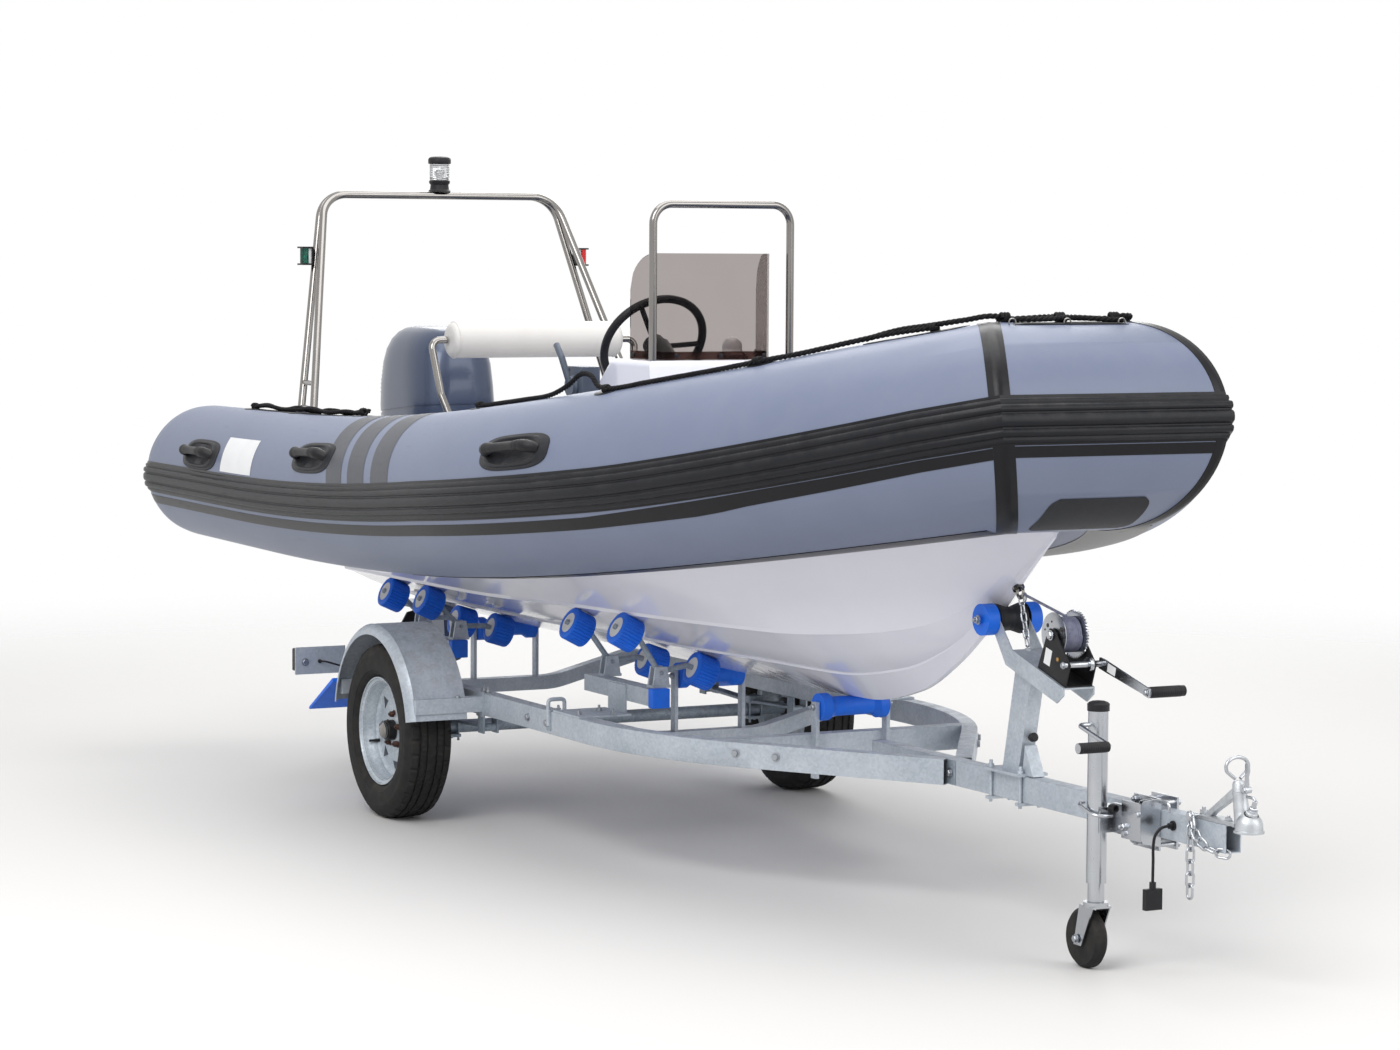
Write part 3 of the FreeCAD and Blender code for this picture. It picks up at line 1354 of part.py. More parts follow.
def boatChain():
    """First link's centre, heading and lowest spot of the chain from the bow eye to the winch table."""
    eye = eyeSpot()
    heading = (Vector(BOAT_CHAIN_FOOT, 0, tableTop(BOAT_CHAIN_FOOT)) - eye).normalize()
    length, _width, bar = BOAT_LINK
    first = eye + heading * (EYE_RADIUS - EYE_WIRE - size("running_gap") + length / 2 - bar)
    lowest = first + heading * (linkPitch(BOAT_LINK) * (BOAT_LINKS - 1) + length / 2)
    return first, heading, lowest


# The trailer's chain: number of links, and the pin on the coupling's foot that it hangs from
TRAILER_LINKS = 7
CHAIN_PIN = (3590.0, 456.0)
CHAIN_PIN_RADIUS = 6.0
CHAIN_SIDE = -41.5


def safetyChain():
    """Chain that holds the boat's eye to the winch table, and the trailer's own chain beside the drawbar."""
    first, heading, _lowest = boatChain()
    links = hangingLinks(first, heading, BOAT_LINKS, BOAT_LINK, Vector(0, 1, 0))
    length, _width, bar = TRAILER_LINK
    x, z = CHAIN_PIN
    top = Vector(x, CHAIN_SIDE, z + CHAIN_PIN_RADIUS + size("running_gap") + bar - length / 2)
    links += hangingLinks(top, Vector(0, 0, -1), TRAILER_LINKS, TRAILER_LINK, Vector(1, 0, 0))
    return settle("safety_chain", Part.makeCompound(links))


def jockeyClamp():
    """Clamp plates and the swivel that the jockey stand swings on, on the drawbar's starboard side."""
    station, side, top = size("jockey_station") + 95, -size("rail_width") / 2, size("frame_top")
    plates = [block(station - 60, station + 60, side - 6, side - 0.05, top - 110, top + 30),
              block(station - 60, station + 60, -side + 0.05, -side + 6, top - 110, top + 30)]
    for along in (-48, 48):
        for height in (top + 16, top - 96):
            plates.append(rod((station + along, side - 14, height), (station + along, -side + 14, height), 6))
    boss = rod((station, side - 36, top - 38), (station, side - 5, top - 38), 26)
    return settle("jockey_clamp", fused(plates + [boss]))


def jockeyTube():
    """Outer tube with its cap, crank and the bracket that swings on the clamp."""
    x, y, radius = size("jockey_station"), size("jockey_side"), size("jockey_tube_radius")
    inner = size("jockey_leg_radius") + size("running_gap")
    tube_piece = rod((x, y, 237), (x, y, 702), radius).cut(rod((x, y, 230), (x, y, 640), inner))
    cap = rod((x, y, 700), (x, y, 716), radius + 3)
    pivot_x, pivot_z, side = x + 95, size("frame_top") - 38, -size("rail_width") / 2
    swing = rod((pivot_x, side - 36.3, pivot_z), (pivot_x, side - 52, pivot_z), 42)
    hand = block(x, pivot_x, side - 52, side - 40, pivot_z - 40, pivot_z + 40)
    saddle = block(x - 30, x + 34, y - 12, side - 40, pivot_z - 34, pivot_z + 34)
    saddle = saddle.cut(rod((x, y, 200), (x, y, 700), radius - 1))
    crank = bentRod([(x, y, 664), (x, y - 62, 664), (x + 155, y - 62, 626), (x + 155, y - 150, 626)], 14, 6)
    grip = rod((x + 155, y - 72, 626), (x + 155, y - 165, 626), 14)
    return settle("jockey_tube", fused([tube_piece, cap, swing, hand, saddle, crank, grip]))


def jockeyLeg():
    x, y, radius = size("jockey_station"), size("jockey_side"), size("jockey_leg_radius")
    return settle("jockey_leg", rod((x, y, 186), (x, y, 590), radius))


def jockeyFork():
    """Pressed fork that swivels under the leg."""
    x, y = size("jockey_station"), size("jockey_side")
    hub, half, trail = size("jockey_wheel_radius"), size("jockey_wheel_width") / 2, size("jockey_trail")
    crown = rod((x, y, 171), (x, y, 185.7), 34)
    sides = [plate([(x - 34, 176), (x + 30, 176), (x - trail + 18, hub - 18), (x - trail - 18, hub - 18)],
                   (y + side * (half + 8) - 2, y + side * (half + 8) + 2), "Y") for side in (-1, 1)]
    bridge = block(x - 34, x + 30, y - half - 10, y + half + 10, 170, 176)
    pin = rod((x - trail, y - half - 14, hub), (x - trail, y + half + 14, hub), 6)
    return settle("jockey_fork", fused([crown, bridge, pin] + sides))


def jockeyWheel():
    width, radius = "jockey_wheel_width / 2", "jockey_wheel_radius"
    return turnedBody("jockey_wheel", [
        ("0 - " + width + " - 4", "6 + running_gap"), (width + " + 4", "6 + running_gap"),
                                       (width + " + 4", "20"), (width, "24"), (width, radius + " - 10"),
                                       (width + " - 10", radius), ("10 - " + width, radius),
                                       ("0 - " + width, radius + " - 10"), ("0 - " + width, "24"),
                                       ("0 - " + width + " - 4", "20")],
                      size("jockey_station") - size("jockey_trail"), size("jockey_side"),
                      size("jockey_wheel_radius"))


def coupling():
    """Cast ball coupling bolted on the drawbar's nose, with its handle and ring."""
    top, nose = size("frame_top"), size("drawbar_nose")
    ball, bore, outside = nose + size("ball_ahead"), size("ball_radius"), size("socket_radius")
    base = block(nose - 145, nose + 60, -24, 24, top + 0.05, top + 14)
    socket = rod((ball, 0, top - 12), (ball, 0, top + 36), outside)
    seat = rod((ball, 0, top - 30), (ball, 0, top + 5), bore)
    seat = seat.fuse(Part.makeSphere(bore, Vector(ball, 0, top + 5)))
    column = rod((nose + 40, 0, top + 10), (nose + 18, 0, top + 122), 20)
    skirt = Part.makeCone(outside, outside - 16, 22, Vector(ball, 0, top + 36))
    x, z = CHAIN_PIN
    pin = rod((x, -20, z), (x, -50, z), CHAIN_PIN_RADIUS)
    pin_head = rod((x, -47, z), (x, -50, z), CHAIN_PIN_RADIUS + 4)
    lever = plate([(nose + 26, top + 100), (nose + 44, top + 112), (nose + 66, top + 172),
                   (nose + 52, top + 178), (nose + 30, top + 126)], (-6, 6), "Y")
    nipple = rod((ball + 2, 0, top + 40), (ball + 16, 0, top + 88), 9)
    strut = plate([(nose - 140, top + 12), (nose - 118, top + 12), (nose + 20, top + 84),
                   (nose + 20, top + 104)],
                  (-10, 10), "Y")
    ring = Part.makeTorus(29, 5, Vector(nose + 2, 0, top + 150), Vector(0, 1, 0))
    shapes = [base, socket, skirt, column, strut, ring, pin, pin_head, lever, nipple]
    return settle("coupling", fused(shapes).cut(seat))


GLAND_SPOT = (3488.0, 414.0)
GLAND_REACH = 16.0
CABLE = ((3488.0, -41.2, 414.0), (3488.0, -56.0, 413.4), (3487.6, -69.6, 407.2), (3487.0, -80.0, 396.0),
         (3486.0, -85.6, 381.6), (3484.8, -87.0, 354.0), (3485.6, -86.4, 325.0), (3485.0, -86.6, 296.0),
         (3485.0, -86.6, 268.0))
CABLE_RADIUS = 4.0


def cableGland():
    """Moulded gland in the drawbar's side that the lamp cable comes out of."""
    (x, z), side = GLAND_SPOT, -size("rail_width") / 2 - 0.05
    flange = rod((x, side, z), (x, side - 5, z), 13)
    neck = rod((x, side - 4, z), (x, side - GLAND_REACH, z), 8)
    return settle("cable_gland", flange.fuse(neck))


def cable():
    """Lamp cable that hangs from the drawbar's side to its plug."""
    spots = [Vector(*spot) for spot in CABLE]
    bends = []
    for before, corner, after in zip(spots, spots[1:], spots[2:]):
        turn = (corner - before).getAngle(after - corner)
        run = min((corner - before).Length, (after - corner).Length)
        bends.append(0.45 * run / math.tan(turn / 2))
    print("cable radii, mm:", [round(bend, 1) for bend in bends])
    shape = bentRod(CABLE, bends, CABLE_RADIUS)
    path = bentLine(CABLE, bends)
    print("cable length %.1f mm, volume over section times length %.4f"
          % (path.Length, shape.Volume / (math.pi * CABLE_RADIUS ** 2 * path.Length)))
    return settle("plug_cable", shape)


def plug():
    x, y, z = CABLE[-1]
    neck = rod((x, y, z), (x, y, z - 22), 9)
    body = block(x - 8, x + 8, y - 26, y + 26, z - 74, z - 18)
    return settle("plug", neck.fuse(body))


def rim(label, side):
    """Pressed steel wheel: barrel, flanges, dished disc with eight vents, and its hub."""
    body = newBody(label, 0, side * size("wheel_plane"), size("hub_height"),
                   Rotation(Vector(0, 0, 1), 0 if side < 0 else 180))
    half, seat, flange = "rim_width / 2", "rim_seat_radius", "rim_flange_radius"
    disc_face = "(dish_inset - rim_width / 2)"
    hub_end = "(0 - hub_length / 2)"
    sketch = drawOn(body, "YZ_Plane")
    outline(sketch, [
        (hub_end, "0"), (hub_end, "spindle_radius + running_gap"),
        ("hub_length / 2", "spindle_radius + running_gap"),
        ("hub_length / 2", "hub_radius"), (disc_face + " + 14", "hub_radius"), (disc_face + " + 14", "96"),
        (disc_face + " + 5", "118"), (disc_face + " + 5", seat + " - rim_sheet"),
        (half, seat + " - rim_sheet"), (half, flange), (half + " - 7", flange), (half + " - 9", seat),
        ("9 - " + half, seat), ("7 - " + half, flange), ("0 - " + half, flange),
        ("0 - " + half, seat + " - rim_sheet"), (disc_face, seat + " - rim_sheet"), (disc_face, "118"),
        (disc_face + " + 9", "96"), (disc_face + " + 9", "60"), (hub_end, "hub_radius - 4"), (hub_end, "28"),
        (hub_end + " - 18", "26"), (hub_end + " - 23", "20"), (hub_end + " - 23", "0")])
    revolve(body, sketch)
    vents = drawOn(body, "XZ_Plane", "rim_width / 2")
    outline(vents, [("0 - 15", "112"), ("15", "112"), ("0", "142")])
    doc.recompute()
    opened = body.newObject("PartDesign::Pocket", label + "_vents")
    opened.Profile = vents
    opened.Type = "Length"
    opened.Length = 60.0
    opened.Reversed = False
    roundPattern(body, opened, vents, 8)
    return body


def tyre(label, side):
    width, seat, hub = "tyre_width / 2", "rim_seat_radius + running_gap", "hub_height"
    return turnedBody(label, [
        ("0 - rim_width / 2 + 9.5", seat), ("rim_width / 2 - 9.5", seat),
        ("rim_width / 2 - 7.5", "rim_flange_radius + 2"),
        (width + " - 8", "rim_flange_radius + 14"), (width, "228"), (width + " - 5", hub + " - 34"),
        (width + " - 18", hub + " - 10"), (width + " - 38", hub + " - 1.5"), (width + " - 60", hub),
        ("60 - " + width, hub), ("38 - " + width, hub + " - 1.5"), ("18 - " + width, hub + " - 10"),
        ("5 - " + width, hub + " - 34"), ("0 - " + width, "228"), ("8 - " + width, "rim_flange_radius + 14"),
        ("7.5 - rim_width / 2", "rim_flange_radius + 2")], 0, side * size("wheel_plane"), size("hub_height"))


PIECES = [
    hull(), tube(), strake(), transom(), bowLocker(), carryHandles(), grabLine(), bowEye(),
    console(), windscreen(), consoleRail(), compass(), steeringWheel(), steeringHelm(), throttle(),
    seatBase(), seatCushion(), bolster(), backrestFrame(), archFrame(), navLights(), anchorLight(),
    clampBracket(), swivelBracket(), outboardLeg(), cowl(), powerhead(), propeller(),
    drawbar(), sideRails(), crossBeams(), axle(), leafSprings(), mudguards(), mudFlaps(),
    lightBoards(), tailLamps(), rollerBeams(), rollerArms(), sideRollers(), keelRollers(),
    winchPost(), winchFrame(), winchDrum(), winchRope(), safetyChain(), jockeyClamp(), jockeyTube(),
    jockeyLeg(), jockeyFork(), jockeyWheel(), coupling(), cableGland(), cable(), plug(),
    rim("rim_right", -1), tyre("tyre_right", -1), rim("rim_left", 1), tyre("tyre_left", 1),
]
doc.recompute()

for item in doc.Objects:
    if "Invalid" in item.State or "Error" in item.State:
        raise RuntimeError("%s failed: %s" % (item.Label, item.State))
for piece in PIECES:
    if piece.Shape.isNull() or not piece.Shape.isValid():
        raise RuntimeError(piece.Label + " has no sound shape")

os.makedirs("parts", exist_ok=True)
for piece in PIECES:
    piece.Shape.exportStep("parts/%s.step" % piece.Label)
    print("%-18s %2d solids %9.1f cm3" % (piece.Label, len(piece.Shape.Solids), piece.Shape.Volume / 1000))
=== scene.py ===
import math

import bmesh
import bpy
import numpy as np
from mathutils import Matrix, Vector


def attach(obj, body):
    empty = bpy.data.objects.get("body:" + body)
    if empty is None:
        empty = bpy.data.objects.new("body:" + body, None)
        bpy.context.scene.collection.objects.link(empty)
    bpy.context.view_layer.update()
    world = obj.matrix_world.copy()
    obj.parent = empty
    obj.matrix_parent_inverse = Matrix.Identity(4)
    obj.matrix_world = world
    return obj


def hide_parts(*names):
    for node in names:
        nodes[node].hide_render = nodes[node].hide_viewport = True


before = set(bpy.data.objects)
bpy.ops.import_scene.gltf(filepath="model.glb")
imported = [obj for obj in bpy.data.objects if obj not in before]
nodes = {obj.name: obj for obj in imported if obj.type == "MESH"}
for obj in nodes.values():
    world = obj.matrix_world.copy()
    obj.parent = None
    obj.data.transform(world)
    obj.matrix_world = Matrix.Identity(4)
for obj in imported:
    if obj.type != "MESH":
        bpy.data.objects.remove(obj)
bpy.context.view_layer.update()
base = "boat_and_trailer"
scene = bpy.context.scene
axleBack = 934.5  # millimetres from the middle of the outfit back to the wheel axle
print("frame loaded:", len(nodes), "nodes")


def row(x, y, z):
    # millimetres from the middle of the outfit and the floor
    return Vector((x, y, z)) / 1000


def at(x, y, z):
    # millimetres from the axle, the middle and the floor
    return row(x - axleBack, y, z)


def newObject(name, data):
    item = bpy.data.objects.new(name, data)
    scene.collection.objects.link(item)
    return item


# camera solved from the photo: millimetres from the axle, degrees, and the focal length in photo pixels
cameraSet = {"spot": (11531.2, -5605.4, 1935.1), "yaw": 27.4038, "pitch": 4.3252, "roll": 0.3394,
             "focal": 3719.0, "width": 1400.0, "sensor": 36.0, "far": 200.0}


def makeCamera():
    yaw, pitch, roll = (math.radians(cameraSet[key]) for key in ("yaw", "pitch", "roll"))
    ahead = Vector((-math.cos(pitch) * math.cos(yaw), math.cos(pitch) * math.sin(yaw), -math.sin(pitch)))
    right = ahead.cross(Vector((0, 0, 1))).normalized()
    upward = right.cross(ahead)
    c, s = math.cos(roll), math.sin(roll)
    right, upward = c * right + s * upward, -s * right + c * upward
    data = bpy.data.cameras.new("camera")
    data.sensor_width = cameraSet["sensor"]
    data.lens = cameraSet["focal"] * cameraSet["sensor"] / cameraSet["width"]
    data.clip_end = cameraSet["far"]
    camera = newObject("camera", data)
    turn = Matrix((right, upward, -ahead)).transposed()
    camera.matrix_world = Matrix.Translation(at(*cameraSet["spot"])) @ turn.to_4x4()
    scene.camera = camera


makeCamera()
print("camera placed")


# node helpers
def tint(*screen):
    # screen colour 0-255 to the renderer's own scale
    shares = [c / 255 for c in screen]
    return (*[s / 12.92 if s <= 0.04045 else ((s + 0.055) / 1.055) ** 2.4 for s in shares], 1.0)


def put(tree, kind, inputs, **settings):
    # a new node whose inputs are values or the sockets that feed them; gives its outputs
    node = tree.nodes.new("ShaderNode" + kind)
    for key, value in settings.items():
        setattr(node, key, value)
    for key, value in inputs.items():
        if isinstance(value, bpy.types.NodeSocket):
            tree.links.new(value, node.inputs[key])
        else:
            node.inputs[key].default_value = value
    return node.outputs


def here(tree):
    return put(tree, "TexCoord", {})["Object"]


def noise(tree, place, scale, detail, roughness=0.5):
    return put(tree, "TexNoise", {"Vector": place, "Scale": scale, "Detail": detail, "Roughness": roughness})


def remap(tree, value, low, high, key=1):
    # key 1 spreads low to high over 0 to 1, key 3 spreads 0 to 1 over low to high
    return put(tree, "MapRange", {"Value": value, key: low, key + 1: high})[0]


def maths(tree, how, *values, **settings):
    return put(tree, "Math", dict(enumerate(values)), operation=how, **settings)[0]


def blend(tree, share, first, second):
    return put(tree, "Mix", {0: share, 6: first, 7: second}, data_type="RGBA")[2]


def mottle(tree, given):
    # slow uneven colour: clouds of a second tint over the first
    cloud = noise(tree, here(tree), given["Scale"], 5.0, 0.6)["Fac"]
    share = maths(tree, "MULTIPLY", remap(tree, cloud, 0.35, 0.68), given["Amount"])
    return blend(tree, share, given["Colour"], given["Second"]), share


def settledDust(tree, given):
    # pale dust on faces that look up, broken by noise
    facing = put(tree, "SeparateXYZ", {0: put(tree, "NewGeometry", {})["Normal"]})["Z"]
    specks = noise(tree, here(tree), given["Scale"], 8.0, 0.7)["Fac"]
    both = maths(tree, "MULTIPLY", remap(tree, facing, -0.2, 1.0), remap(tree, specks, 0.42, 0.66))
    share = maths(tree, "MULTIPLY", both, given["Amount"], use_clamp=True)
    return blend(tree, share, given["Colour"], given["Dust"]), share


def zincSpangle(tree, given):
    # hot-dip zinc crystals: cells of slightly different grey with dull clouds
    place = here(tree)
    bend = noise(tree, place, 60.0, 3.0)["Color"]
    shift = put(tree, "VectorMath", {0: bend, 1: (0.012, 0.012, 0.012)}, operation="MULTIPLY")[0]
    moved = put(tree, "VectorMath", {0: place, 1: shift}, operation="ADD")[0]
    cells = put(tree, "TexVoronoi", {"Vector": moved, "Scale": given["Scale"]})["Color"]
    cloud = noise(tree, place, 7.0, 6.0)["Fac"]
    grey = maths(tree, "MULTIPLY", put(tree, "SeparateColor", {0: cells})[0], 0.45)
    total = maths(tree, "MULTIPLY_ADD", remap(tree, cloud, 0.3, 0.7), 0.6, grey, use_clamp=True)
    return blend(tree, total, given["Pale"], given["Dark"]), remap(tree, total, 0.38, 0.62, 3), cloud


def fineGrain(tree, given):
    # fine moulded grain as a height
    place = here(tree)
    pebbles = put(tree, "TexVoronoi", {"Vector": place, "Scale": given["Scale"]})["Distance"]
    return (maths(tree, "ADD", noise(tree, place, given["Scale"], 3.0)["Fac"], pebbles),)


def clothWeave(tree, given):
    # crossed threads as a height
    turn = put(tree, "VectorRotate", {"Vector": here(tree), "Angle": 0.6}, rotation_type="Z_AXIS")[0]
    waves = [put(tree, "TexWave", {"Vector": turn, "Scale": given["Scale"], "Distortion": 0.4},
                 bands_direction=way)["Fac"] for way in "XZ"]
    return (maths(tree, "MULTIPLY", *waves),)


def rubbedMarks(tree, given):
    # short directional scratches and rubbed spots
    stretch = put(tree, "Mapping", {"Vector": here(tree), "Scale": (0.5, 2.0, 3.0)})[0]
    lines = noise(tree, stretch, given["Scale"], 9.0, 0.75)["Fac"]
    return (maths(tree, "MULTIPLY", remap(tree, lines, 0.58, 0.74), given["Amount"]),)


def newGroup(build, inputs, outputs):
    tree = bpy.data.node_groups.new(build.__name__, "ShaderNodeTree")
    kinds = {float: "NodeSocketFloat", tuple: "NodeSocketColor"}
    for label, value in inputs.items():
        socket = tree.interface.new_socket(label, in_out="INPUT", socket_type=kinds[type(value)])
        socket.default_value = value
    for label in outputs:
        tree.interface.new_socket(label, in_out="OUTPUT", socket_type=kinds[tuple if label == "Colour" else float])
    given, end = tree.nodes.new("NodeGroupInput"), tree.nodes.new("NodeGroupOutput")
    for label, source in zip(outputs, build(tree, given.outputs)):
        tree.links.new(source, end.inputs[label])
    return tree


white, black, earth = (1.0, 1.0, 1.0, 1.0), (0.0, 0.0, 0.0, 1.0), (150, 140, 125)
groups = {
    "mottle": newGroup(mottle, {"Colour": white, "Second": black, "Scale": 3.0, "Amount": 0.3}, ("Colour", "Mask")),
    "dust": newGroup(settledDust, {"Colour": white, "Dust": tint(*earth), "Amount": 0.3, "Scale": 14.0},
                     ("Colour", "Mask")),
    "spangle": newGroup(zincSpangle, {"Pale": white, "Dark": black, "Scale": 90.0}, ("Colour", "Roughness", "Height")),
    "grain": newGroup(fineGrain, {"Scale": 900.0}, ("Height",)),
    "weave": newGroup(clothWeave, {"Scale": 700.0}, ("Height",)),
    "scuff": newGroup(rubbedMarks, {"Scale": 30.0, "Amount": 0.5}, ("Mask",)),
}


def use(tree, group, **inputs):
    return put(tree, "Group", inputs, node_tree=groups[group])


def newFinish(name, roughness, metallic=0.0, **more):
    material = bpy.data.materials.new(name)
    material.use_nodes = True
    shader = material.node_tree.nodes["Principled BSDF"].inputs
    for key, value in {"Roughness": roughness, "Metallic": metallic, **more}.items():
        shader[key.replace("_", " ")].default_value = value
    return material, material.node_tree, shader


def bumpFrom(tree, shader, height, strength, distance=0.001):
    bump = put(tree, "Bump", {"Height": height, "Strength": strength, "Distance": distance})[0]
    tree.links.new(bump, shader["Normal"])


def coatedFinish(name, main, second, roughness, scale, amount, dust=0.0, dustTint=earth, grain=None, weave=None,
                 rub=0.0, metallic=0.0, **more):
    # paint, rubber, plastic or cloth: mottled colour, settled dust, rubbed marks and a fine relief
    material, tree, shader = newFinish(name, roughness, metallic, **more)
    body = use(tree, "mottle", Colour=tint(*main), Second=tint(*second), Scale=scale, Amount=amount)
    top = use(tree, "dust", Colour=body["Colour"], Amount=dust, Dust=tint(*dustTint))
    tree.links.new(top["Colour"], shader["Base Color"])
    marks = use(tree, "scuff", Amount=rub, Scale=26.0)
    lift = maths(tree, "ADD", marks["Mask"], top["Mask"])
    tree.links.new(remap(tree, lift, roughness, min(roughness + 0.35, 1), 3), shader["Roughness"])
    for group, relief in (("grain", grain), ("weave", weave)):
        if relief:
            bumpFrom(tree, shader, use(tree, group, Scale=relief[0])["Height"], *relief[1:])
    return material


def zincFinish(name, pale, dark, metallic, scale, dust=0.35):
    material, tree, shader = newFinish(name, 0.5, metallic)
    coat = use(tree, "spangle", Pale=tint(*pale), Dark=tint(*dark), Scale=scale)
    top = use(tree, "dust", Colour=coat["Colour"], Amount=dust, Dust=tint(110, 100, 88), Scale=22.0)
    tree.links.new(top["Colour"], shader["Base Color"])
    tree.links.new(coat["Roughness"], shader["Roughness"])
    bumpFrom(tree, shader, coat["Height"], 0.12, 0.002)
    return material


def shaded(tree, shader, main, share, scale, amount):
    # mottle of a colour with a darker share of itself
    pale = tint(*main)
    body = use(tree, "mottle", Colour=pale, Second=(*(c * share for c in pale[:3]), 1.0), Scale=scale, Amount=amount)
    tree.links.new(body["Colour"], shader["Base Color"])


def brightFinish(name, main, roughness, metallic=1.0):
    # polished or plated metal with drawn marks
    material, tree, shader = newFinish(name, roughness, metallic)
    shaded(tree, shader, main, 0.72, 9.0, 0.35)
    marks = use(tree, "scuff", Amount=0.5, Scale=60.0)
    tree.links.new(remap(tree, marks["Mask"], roughness, roughness + 0.3, 3), shader["Roughness"])
    return material


def clearFinish(name, main, roughness, ior=1.45):
    material, tree, shader = newFinish(name, roughness, IOR=ior, Transmission_Weight=1.0)
    shaded(tree, shader, main, 0.8, 4.0, 0.2)
    return material


